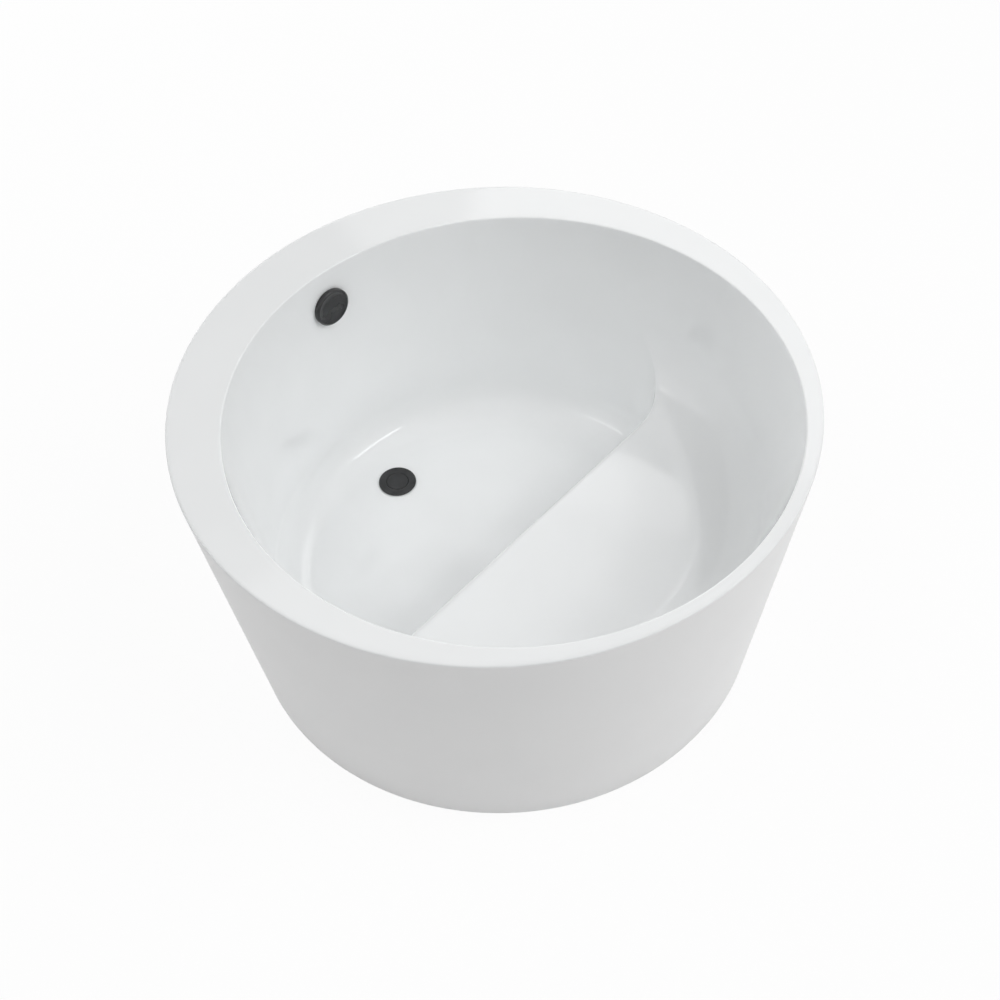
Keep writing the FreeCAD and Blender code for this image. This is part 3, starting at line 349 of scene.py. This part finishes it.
def skirt_radius(level):
    shell = bpy.context.scene.tub_shell
    return shell.foot_radius + (shell.tub_radius - shell.foot_radius) * level / shell.height


def meridian_angles(count):
    # closer together where the seat's ends run into the wall
    fine = np.linspace(0, 2 * np.pi, 7201)
    away = np.abs((fine + np.pi) % (2 * np.pi) - np.pi)
    density = 1 + SEAT_END_PULL * np.exp(-((away - SEAT_END) / SEAT_END_SPREAD) ** 2)
    total = np.concatenate([[0], np.cumsum((density[1:] + density[:-1]) / 2)])
    return np.interp(np.arange(count) * total[-1] / count, total, fine)


def wall_profile(angle, depth, top, samples):
    # where rays from the middle of the hollow meet the wall, grown by depth, in each meridian's plane
    shell = bpy.context.scene.tub_shell
    eye = shell.seat_level + EYE_ABOVE_SEAT
    cosine, sine = np.cos(angle)[:, None], np.sin(angle)[:, None]
    climbed, rise = top - shell.floor_level, shell.height - shell.floor_level
    shift = shell.opening_shift * climbed / rise + shell.well_centre
    widening = shell.opening_radius - shell.floor_radius
    radius = widening * climbed / rise + shell.floor_radius + depth
    edge = shift * cosine + np.sqrt(radius ** 2 - (shift * sine) ** 2)
    last = math.pi / 2 + np.arctan2(top - eye, edge)
    tilt = last * np.linspace(0, 1, samples)[None, :]
    out, up = np.sin(tilt), -np.cos(tilt)
    near, far = np.zeros_like(tilt), np.ones_like(tilt)
    for _ in range(HALVINGS):
        middle = (near + far) / 2
        x = middle * out * cosine - shell.well_centre
        inside = hollow(x, middle * out * sine, eye + middle * up) < depth
        near, far = np.where(inside, middle, near), np.where(inside, far, middle)
    reach, level = near * out, eye + near * up
    reach[:, -1], level[:, -1] = edge[:, 0], top
    return reach, level


def softened(values, spread):
    # a bell-shaped average along the column, whose ends are carried on past it and so stay where they are
    half = int(4 * spread / FINE_STEP)
    kernel = np.exp(-0.5 * (np.arange(-half, half + 1) * FINE_STEP / spread) ** 2)
    before = 2 * values[0] - values[half:0:-1]
    after = 2 * values[-1] - values[-2:-half - 2:-1]
    padded = np.concatenate([before, values, after])
    return np.convolve(padded, kernel / kernel.sum(), mode="valid")


def respaced(reach, level, spread, rows):
    # one column redrawn: corners softened over the spread, and rows closer together where it bends
    run = np.concatenate([[0], np.cumsum(np.hypot(np.diff(reach), np.diff(level)))])
    fine = np.linspace(0, run[-1], int(run[-1] / FINE_STEP) + 1)
    reach = softened(np.interp(fine, run, reach), spread)
    level = softened(np.interp(fine, run, level), spread)
    heading = np.unwrap(np.arctan2(np.gradient(level), np.gradient(reach)))
    bend = softened(1 + BEND_PULL * np.abs(np.gradient(heading)) / FINE_STEP, BEND_SPREAD)
    total = np.concatenate([[0], np.cumsum((bend[1:] + bend[:-1]) / 2)])
    place = np.interp(np.linspace(0, total[-1], rows), total, fine)
    return np.interp(place, fine, reach), np.interp(place, fine, level)


def reach_of(radius, angle):
    # from the meridians' centre to a circle about the axis
    centre = bpy.context.scene.tub_shell.well_centre
    return centre * np.cos(angle) + np.sqrt(radius ** 2 - (centre * np.sin(angle)) ** 2)


def basin_columns(angle):
    shell = bpy.context.scene.tub_shell
    top, under, seam = shell.height, shell.height - shell.wall, shell.height - shell.lip_drop
    inner = wall_profile(angle, 0, top, INNER_SAMPLES)
    outer = wall_profile(angle, shell.wall, under, OUTER_SAMPLES)
    columns = []
    for index, turn in enumerate(angle):
        rim, edge = reach_of(shell.tub_radius, turn), inner[0][index, -1]
        middle = (rim + edge) / 2
        lip, lip_inner = reach_of(skirt_radius(seam), turn), reach_of(skirt_radius(seam) - shell.wall, turn)
        bath = respaced(np.append(inner[0][index], middle), np.append(inner[1][index], top),
                        spread=0.0022, rows=190)
        brow = respaced(np.array([middle, rim, lip]), np.array([top, top, seam]), spread=0.0042, rows=22)
        back = respaced(outer[0][index], outer[1][index], spread=0.004, rows=34)
        fold = np.array([lip_inner, reach_of(skirt_radius(under) - shell.wall, turn)])
        reach = np.concatenate([bath[0], brow[0][1:], fold, back[0][::-1]])
        level = np.concatenate([bath[1], brow[1][1:], [seam, under], back[1][::-1]])
        columns.append((reach, level))
    return np.array([c[0] for c in columns]), np.array([c[1] for c in columns])


class MESH_OT_tub_basin(bpy.types.Operator):
    """Basin: bathing space, seat, rim and its turned-down edge, as one closed shell"""
    bl_idname = "mesh.tub_basin"
    bl_label = "Basin"

    def execute(self, context):
        shell = context.scene.tub_shell
        angle = meridian_angles(shell.meridians)
        reach, level = basin_columns(angle)
        rows = reach.shape[1]
        fresh()
        bpy.ops.mesh.primitive_grid_add(x_subdivisions=rows - 1, y_subdivisions=len(angle), size=1)
        basin = name_piece("basin_shell")
        # the grid's rows become rings and its columns meridians; its two side edges meet and are merged
        row, column = np.meshgrid(np.arange(rows), np.arange(len(angle) + 1) % len(angle))
        r, z, turn = reach[column, row], level[column, row], angle[column]
        points = np.stack([r * np.cos(turn) - shell.well_centre, r * np.sin(turn), z], axis=-1)
        basin.data.vertices.foreach_set("co", points.reshape(-1))
        basin.data.update()
        bpy.ops.object.mode_set(mode="EDIT")
        bpy.ops.mesh.select_all(action="SELECT")
        bpy.ops.mesh.remove_doubles(threshold=MERGE)
        bpy.ops.mesh.normals_make_consistent(inside=False)
        bpy.ops.object.mode_set(mode="OBJECT")
        settle(cut_waste_holes(basin))
        smooth(basin, 40)
        dress(basin, "acrylic", "basin", "tub")
        basin.data.materials.append(finish_of("outer_acrylic"))
        for face in basin.data.polygons:
            reach = math.hypot(face.center.x, face.center.y)
            face.material_index = int(reach > shell.tub_radius - EDGE_BAND and face.normal.z < UPRIGHT)
        return {"FINISHED"}


def cut_waste_holes(obj):
    for place, radius in ((drain_place(), DRAIN_HOLE), (overflow_place(), OVERFLOW_HOLE)):
        fresh()
        bpy.ops.mesh.primitive_cylinder_add(vertices=96, radius=radius, depth=HOLE_DEPTH)
        cut(obj, settle(name_piece("hole"), place))
    return obj


class MESH_OT_tub_skirt(bpy.types.Operator):
    """Skirt: the conical outside, its bonding tongue behind the rim and the flange at its foot"""
    bl_idname = "mesh.tub_skirt"
    bl_label = "Skirt"

    def execute(self, context):
        shell = context.scene.tub_shell
        low, seam = shell.skirt_lift, shell.height - shell.lip_drop
        top = shell.height - shell.wall - SKIRT_FIT
        behind, flange = shell.wall + SKIRT_FIT, shell.skirt_lift + shell.skirt_wall
        levels = [low + (seam - low) * ring / SKIRT_RINGS for ring in range(SKIRT_RINGS + 1)]
        outside = [(skirt_radius(level), level) for level in levels]
        points = outside + [
            (skirt_radius(seam) - behind, seam),
            (skirt_radius(top) - behind, top),
            (skirt_radius(top) - behind - shell.skirt_wall, top),
            (skirt_radius(seam) - behind - shell.skirt_wall, seam),
            (skirt_radius(seam - TONGUE_ROOT) - shell.skirt_wall, seam - TONGUE_ROOT),
            (skirt_radius(flange) - shell.skirt_wall, flange),
            (skirt_radius(low) - shell.flange_width, flange),
            (skirt_radius(low) - shell.flange_width, low),
            outside[0]]
        skirt = turned("skirt_shell", points, SKIRT_FACETS)
        only(skirt)
        bpy.ops.object.mode_set(mode="EDIT")
        bpy.ops.mesh.select_all(action="DESELECT")
        bpy.ops.object.mode_set(mode="OBJECT")
        for edge in skirt.data.edges:
            ends = [skirt.data.vertices[v].co for v in edge.vertices]
            edge.select = all(end.z < flange + 0.0001 and abs(end.z - ends[0].z) < 0.0001 for end in ends)
        bpy.ops.object.mode_set(mode="EDIT")
        bpy.ops.mesh.select_mode(type="EDGE")
        bpy.ops.mesh.bevel(offset=FOOT_ROUND, segments=3, affect="EDGES")
        bpy.ops.object.mode_set(mode="OBJECT")
        smooth(settle(skirt), 30)
        dress(skirt, "outer_acrylic", "skirt", "tub")
        return {"FINISHED"}


# Black fittings

class MESH_OT_tub_drain(bpy.types.Operator):
    """Drain: the dished flange with its throat and cross bars, and the stopper's cap"""
    bl_idname = "mesh.tub_drain"
    bl_label = "Drain"

    def execute(self, context):
        sizes = context.scene.tub_fittings
        rim = sizes.flange_radius
        ring = turned("drain_ring", [
            (0.019, -0.022), (0.0245, -0.022), (0.0245, 0.0015), (rim, 0.0015), (rim, 0.0031),
            (rim - 0.0016, 0.0046), (0.028, 0.0046), (0.0246, 0.0042), (0.0234, 0.0034), (0.0232, 0.0012),
            (0.019, -0.0025), (0.019, -0.022)], FACETS)
        bevel(ring, 0.0007, 4, 18)
        hub = turned("drain_hub", [
            (0.0071, -0.022), (0.01, -0.022), (0.01, -0.017), (0.0071, -0.017), (0.0071, -0.022)], 64)
        bars = []
        for turn in range(3):
            fresh()
            bpy.ops.mesh.primitive_cube_add(size=1, location=(0.01475, 0, -0.0195),
                                            scale=(0.011, 0.003, 0.005))
            bar = settle(name_piece("drain_bar"))
            bevel(bar, 0.0006, 2, 40)
            bars.append(settle(bar, Matrix.Rotation(math.radians(120 * turn), 4, "Z")))
        join(ring, [hub] + bars)
        settle(ring, drain_place())
        smooth(ring)
        dress(ring, "fitting", "drain_flange", "tub")
        top, low, dish_depth, chamfer = 0.004, 0.0017, 0.0012, 0.0006
        cap_edge = sizes.cap_radius
        shares = (0.0, 0.15, 0.3, 0.45, 0.6, 0.75, 0.87)
        dish = [(cap_edge * share, top - dish_depth * (1 - share ** 2)) for share in shares]
        cap = turned("stopper_cap", dish + [
            (cap_edge - chamfer, top), (cap_edge, top - chamfer), (cap_edge, low + chamfer),
            (cap_edge - chamfer, low), (0, low)], FACETS)
        bevel(cap, 0.0004, 3, 28)
        settle(cap, drain_place())
        smooth(cap)
        dress(cap, "fitting", "drain_cap", "stopper")
        return {"FINISHED"}


class MESH_OT_tub_overflow(bpy.types.Operator):
    """Overflow: the plain cover on the wall, with its intake at the lower edge"""
    bl_idname = "mesh.tub_overflow"
    bl_label = "Overflow cover"

    def execute(self, context):
        sizes = context.scene.tub_fittings
        rim, grip = sizes.cover_radius, 0.0351
        # the back stands clear of the round wall behind the middle of the flat disc
        back = rim ** 2 / (2 * WALL_AT_OVERFLOW) + 0.0001
        front, inside = back + sizes.cover_depth, back + 0.004
        dished, chamfer, plate = front - 0.0007, 0.0026, 0.0024
        face = [(rim * share, dished) for share in (0.0, 0.3, 0.6, 0.84)]
        cover = turned("overflow_disc", face + [
            (rim * 0.88, front), (rim * 0.91, front), (rim, front - chamfer), (rim, back), (grip, back),
            (grip, inside), (rim - plate, inside), (rim - plate, front - plate), (0, front - plate)], FACETS)
        bevel(cover, 0.0006, 4, 28)
        fresh()
        bpy.ops.mesh.primitive_cube_add(size=1, location=(0.06, 0, back), scale=(0.08, 0.034, 0.01))
        cut(cover, settle(name_piece("intake")))
        settle(cover, overflow_place())
        smooth(cover)
        dress(cover, "fitting", "overflow_cover", "tub")
        return {"FINISHED"}


# Finishes

def shader(name, base, rough, metal=0.0, coat=0.0):
    material = bpy.data.materials.new("tub_" + name)
    material.use_nodes = True
    nodes = material.node_tree.nodes
    principled = nodes["Principled BSDF"]
    principled.inputs["Base Color"].default_value = (*base, 1)
    principled.inputs["Roughness"].default_value = rough
    principled.inputs["Metallic"].default_value = metal
    principled.inputs["Coat Weight"].default_value = coat
    return material


def add_node(material, kind, **inputs):
    node = material.node_tree.nodes.new(kind)
    for socket, value in inputs.items():
        node.inputs[socket.replace("_", " ")].default_value = value
    return node


def link(material, start, output, end, socket):
    material.node_tree.links.new(start.outputs[output], end.inputs[socket])


def noise(material, scale, detail=2.0, stretch=(1, 1, 1)):
    place = add_node(material, "ShaderNodeTexCoord")
    mapping = add_node(material, "ShaderNodeMapping", Scale=stretch)
    texture = add_node(material, "ShaderNodeTexNoise", Scale=scale, Detail=detail)
    link(material, place, "Object", mapping, "Vector")
    link(material, mapping, "Vector", texture, "Vector")
    return texture


def vary_colour(material, texture, output, dark, light):
    ramp = add_node(material, "ShaderNodeValToRGB")
    ramp.color_ramp.elements[0].position, ramp.color_ramp.elements[1].position = 0.3, 0.7
    ramp.color_ramp.elements[0].color = (*dark, 1)
    ramp.color_ramp.elements[1].color = (*light, 1)
    link(material, texture, output, ramp, "Fac")
    link(material, ramp, "Color", material.node_tree.nodes["Principled BSDF"], "Base Color")


def vary_roughness(material, texture, output, low, high):
    span = add_node(material, "ShaderNodeMapRange", To_Min=low, To_Max=high)
    link(material, texture, output, span, "Value")
    link(material, span, "Result", material.node_tree.nodes["Principled BSDF"], "Roughness")


def raise_surface(material, texture, output, strength, distance):
    bump = add_node(material, "ShaderNodeBump", Strength=strength, Distance=distance)
    link(material, texture, output, bump, "Height")
    link(material, bump, "Normal", material.node_tree.nodes["Principled BSDF"], "Normal")
    return bump


def shade(base, factor):
    return tuple(min(1.0, c * factor) for c in base)


def mixed(name, base, rough, low, high, scale, bump, distance, metal=0.0, coat=0.0, spread=0.05):
    # a finish whose colour, roughness and relief all wander a little
    material = shader(name, base, rough, metal, coat)
    texture = noise(material, scale, 3.0)
    vary_colour(material, texture, "Fac", shade(base, 1 - spread), shade(base, 1 + spread))
    vary_roughness(material, texture, "Fac", low, high)
    raise_surface(material, noise(material, scale * 6, 2.0), "Fac", bump, distance)
    return material


def acrylic_sheet(name, base, rough, low, high, waves, specular=0.5):
    # moulded sheet: an even sheen with the very slight waviness of a moulding
    material = shader(name, base, rough)
    principled = material.node_tree.nodes["Principled BSDF"]
    principled.inputs["Specular IOR Level"].default_value = specular
    wave = noise(material, waves, 1.0)
    vary_colour(material, wave, "Fac", shade(base, 0.993), shade(base, 1.006))
    vary_roughness(material, noise(material, 60.0, 3.0), "Fac", low, high)
    raise_surface(material, wave, "Fac", 0.06, 0.002)
    return material


def satin_black(base):
    # sprayed coat: fine orange peel over a slow change of sheen
    material = shader("fitting", base, 0.2)
    vary_colour(material, noise(material, 35.0, 2.0), "Fac", shade(base, 0.8), shade(base, 1.25))
    vary_roughness(material, noise(material, 70.0, 3.0), "Fac", 0.14, 0.27)
    raise_surface(material, noise(material, 220.0, 1.0), "Fac", 0.05, 0.0003)
    return material


def chipboard(base):
    material = shader("board", base, 0.85)
    place = add_node(material, "ShaderNodeTexCoord")
    chips = add_node(material, "ShaderNodeTexVoronoi", Scale=260.0)
    link(material, place, "Object", chips, "Vector")
    vary_colour(material, chips, "Color", shade(base, 0.62), shade(base, 1.25))
    raise_surface(material, chips, "Distance", 0.4, 0.0004)
    return material


def threaded(base):
    # plated steel with the rings of a thread round it
    material = shader("thread", base, 0.35, 1.0)
    place = add_node(material, "ShaderNodeTexCoord")
    rings = add_node(material, "ShaderNodeTexWave", Scale=180.0)
    rings.bands_direction = "Z"
    rings.wave_type = "BANDS"
    link(material, place, "Object", rings, "Vector")
    raise_surface(material, rings, "Fac", 0.8, 0.0006)
    vary_roughness(material, noise(material, 120.0, 2.0), "Fac", 0.28, 0.45)
    return material


def make_finishes():
    # low and high are the roughness's ends, scale the grain per metre, distance the relief's depth
    finish = bpy.context.scene.tub_finishes
    acrylic_sheet("acrylic", finish.acrylic, 0.085, low=0.07, high=0.1, waves=9.0)
    acrylic_sheet("outer_acrylic", finish.outside, 0.5, low=0.45, high=0.55, waves=7.0, specular=0.2)
    satin_black(finish.fitting)
    chipboard(finish.board)
    mixed("frame_paint", finish.frame_paint, 0.5, low=0.42, high=0.6, scale=60.0, bump=0.3,
          distance=0.0004, coat=0.1)
    mixed("zinc", finish.zinc, 0.35, low=0.28, high=0.46, scale=70.0, bump=0.1, distance=0.0002, metal=1.0)
    threaded(finish.zinc)
    mixed("pipe", finish.pipe, 0.42, low=0.36, high=0.5, scale=25.0, bump=0.08, distance=0.0004, spread=0.02)
    mixed("rubber", finish.rubber, 0.8, low=0.7, high=0.9, scale=140.0, bump=0.25, distance=0.0003,
          spread=0.2)
    mixed("pad", finish.pad, 0.6, low=0.5, high=0.7, scale=90.0, bump=0.3, distance=0.0003, spread=0.15)
    mixed("brass", finish.brass, 0.3, low=0.22, high=0.4, scale=80.0, bump=0.08, distance=0.0002, metal=1.0)


def finish_of(name):
    return bpy.data.materials["tub_" + name]


def wear(obj, name):
    obj.data.materials.clear()
    obj.data.materials.append(finish_of(name))


def dress(obj, finish, node, body):
    wear(obj, finish)
    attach(obj, body)
    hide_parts(node)


WEARS = {
    "board": ["floor_board", "seat_board"],
    "frame_paint": ["rail_left", "rail_right", "cross_rail_front", "cross_rail_middle", "cross_rail_rear",
                    "seat_post_left", "seat_post_right", "skirt_brackets"],
    "zinc": ["board_screws", "post_screws", "bracket_screws", "rail_nuts", "lock_nuts"],
    "thread": ["foot_stud_%d" % number for number in range(1, 6)],
    "pad": ["rail_caps"] + ["foot_pad_%d" % number for number in range(1, 6)],
    "rubber": ["drain_gasket", "cap_seal", "under_gasket", "overflow_gasket", "slip_washers"],
    "brass": ["plug_cartridge", "cap_stem"],
    "pipe": ["drain_body", "outlet_tail", "overflow_run", "waste_elbow", "overflow_pipe", "overflow_elbow",
             "slip_nuts"],
    "fitting": ["overflow_ring"],
}


class MATERIAL_OT_tub_finishes(bpy.types.Operator):
    """Finishes: makes the materials and gives them to the cradle, feet and pipes"""
    bl_idname = "material.tub_finishes"
    bl_label = "Finishes"

    def execute(self, context):
        make_finishes()
        for name, nodes in WEARS.items():
            for node in nodes:
                wear(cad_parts[node], name)
        return {"FINISHED"}


# Stage

class SCENE_OT_tub_stage(bpy.types.Operator):
    """Stage: camera, soft lights, white surroundings and a plain pale floor"""
    bl_idname = "scene.tub_stage"
    bl_label = "Stage"

    def execute(self, context):
        scene = context.scene
        stage = scene.tub_stage
        fresh()
        bpy.ops.object.camera_add(location=stage.camera_place, rotation=stage.camera_turn)
        camera = context.object
        camera.name = "photo_camera"
        camera.data.lens = stage.lens
        camera.data.clip_end = 50
        scene.camera = camera
        bpy.ops.mesh.primitive_circle_add(vertices=128, radius=FLOOR_RADIUS, fill_type="NGON",
                                          location=(0, 0, -FLOOR_DROP))
        floor = settle(name_piece("studio_floor"))
        floor.data.materials.append(self.floor_finish(stage.floor_colour))
        for name, azimuth, elevation, width, height, distance, power, mirrored in LAMPS:
            bpy.ops.object.light_add(type="AREA")
            lamp = context.object
            lamp.name = name
            lamp.data.shape = "RECTANGLE"
            lamp.data.size, lamp.data.size_y = width, height
            lamp.data.energy = power
            lamp.visible_camera, lamp.visible_glossy = False, mirrored
            lamp.matrix_world = self.facing_tub(azimuth, elevation, distance)
        self.dark_card()
        self.surroundings(scene)
        scene.view_settings.view_transform = "Standard"
        return {"FINISHED"}

    def facing_tub(self, azimuth, elevation, distance):
        # a place round the tub's middle, whose own -Z looks at it
        middle = Matrix.Translation((0, 0, STAGE_MIDDLE))
        about, above = math.radians(azimuth), math.radians(-elevation)
        way = Matrix.Rotation(about, 4, "Z") @ Matrix.Rotation(above, 4, "Y")
        look = Matrix.Rotation(math.radians(90), 4, "Z") @ Matrix.Rotation(math.radians(90), 4, "X")
        return middle @ way @ Matrix.Translation((distance, 0, 0)) @ look

    def dark_card(self):
        # the dark side of the room, seen only as a reflection in the gloss
        bpy.ops.mesh.primitive_plane_add(size=1)
        card = name_piece("dark_card")
        card.scale = CARD_SIZE
        settle(card)
        settle(card, self.facing_tub(*CARD_PLACE))
        card.data.materials.append(shader("card", (0.03, 0.03, 0.03), 1.0))
        card.visible_camera = card.visible_diffuse = card.visible_shadow = False
        card.visible_transmission = card.visible_volume_scatter = False

    def floor_finish(self, base):
        material = shader("floor", base, 0.9)
        nodes, links = material.node_tree.nodes, material.node_tree.links
        path = nodes.new("ShaderNodeLightPath")
        glow = add_node(material, "ShaderNodeEmission", Strength=1.0)
        blend = nodes.new("ShaderNodeMixShader")
        share = add_node(material, "ShaderNodeMath")
        share.operation = "MULTIPLY"
        share.inputs[1].default_value = FLOOR_GLOW
        links.new(self.seen_directly(nodes, links, path), share.inputs[0])
        links.new(share.outputs[0], blend.inputs["Fac"])
        links.new(nodes["Principled BSDF"].outputs[0], blend.inputs[1])
        links.new(glow.outputs[0], blend.inputs[2])
        links.new(blend.outputs[0], nodes["Material Output"].inputs["Surface"])
        return material

    def seen_directly(self, nodes, links, path):
        # the camera's own rays, and those by way of a mirror or a glass
        first, second = nodes.new("ShaderNodeMath"), nodes.new("ShaderNodeMath")
        first.operation = second.operation = "MAXIMUM"
        links.new(path.outputs["Is Camera Ray"], first.inputs[0])
        links.new(path.outputs["Is Glossy Ray"], first.inputs[1])
        links.new(first.outputs[0], second.inputs[0])
        links.new(path.outputs["Is Transmission Ray"], second.inputs[1])
        return second.outputs[0]

    def surroundings(self, scene):
        world = scene.world or bpy.data.worlds.new("World")
        scene.world = world
        world.use_nodes = True
        nodes, links = world.node_tree.nodes, world.node_tree.links
        nodes.clear()
        path = nodes.new("ShaderNodeLightPath")
        plain, seen = nodes.new("ShaderNodeBackground"), nodes.new("ShaderNodeBackground")
        plain.inputs["Color"].default_value = (1, 1, 1, 1)
        plain.inputs["Strength"].default_value = ROOM_LIGHT
        seen.inputs["Strength"].default_value = 1.0
        seen.inputs["Color"].default_value = (1, 1, 1, 1)
        blend, output = nodes.new("ShaderNodeMixShader"), nodes.new("ShaderNodeOutputWorld")
        links.new(self.seen_directly(nodes, links, path), blend.inputs["Fac"])
        links.new(plain.outputs[0], blend.inputs[1])
        links.new(seen.outputs[0], blend.inputs[2])
        links.new(blend.outputs[0], output.inputs["Surface"])


class VIEW3D_PT_tub(bpy.types.Panel):
    """Sizes, colours and pieces of the bathtub"""
    bl_label = "Bathtub"
    bl_idname = "VIEW3D_PT_tub"
    bl_space_type = "VIEW_3D"
    bl_region_type = "UI"
    bl_category = "Bathtub"

    def draw(self, context):
        for title, settings in (("Shell", "tub_shell"), ("Fittings", "tub_fittings"),
                                ("Finishes", "tub_finishes"), ("Stage", "tub_stage")):
            area = self.layout.box()
            area.label(text=title)
            group = getattr(context.scene, settings)
            for key in group.__annotations__:
                area.prop(group, key)
        for step in STEPS:
            self.layout.operator(step)


GROUPS = {
    "tub_shell": ShellSizes,
    "tub_fittings": FittingSizes,
    "tub_finishes": Finishes,
    "tub_stage": StageSettings,
}
CLASSES = (ShellSizes, FittingSizes, Finishes, StageSettings, SCENE_OT_tub_stage, MATERIAL_OT_tub_finishes,
           MESH_OT_tub_basin, MESH_OT_tub_skirt, MESH_OT_tub_drain, MESH_OT_tub_overflow, VIEW3D_PT_tub)
STEPS = ("scene.tub_stage", "material.tub_finishes", "mesh.tub_basin", "mesh.tub_skirt", "mesh.tub_drain",
         "mesh.tub_overflow")


def register():
    for item in CLASSES:
        bpy.utils.register_class(item)
    for key, group in GROUPS.items():
        setattr(bpy.types.Scene, key, bpy.props.PointerProperty(type=group))


def unregister():
    for key in GROUPS:
        delattr(bpy.types.Scene, key)
    for item in reversed(CLASSES):
        bpy.utils.unregister_class(item)


def main():
    register()
    for step in STEPS:
        area, name = step.split(".")
        getattr(getattr(bpy.ops, area), name)()


if __name__ == "__main__":
    main()
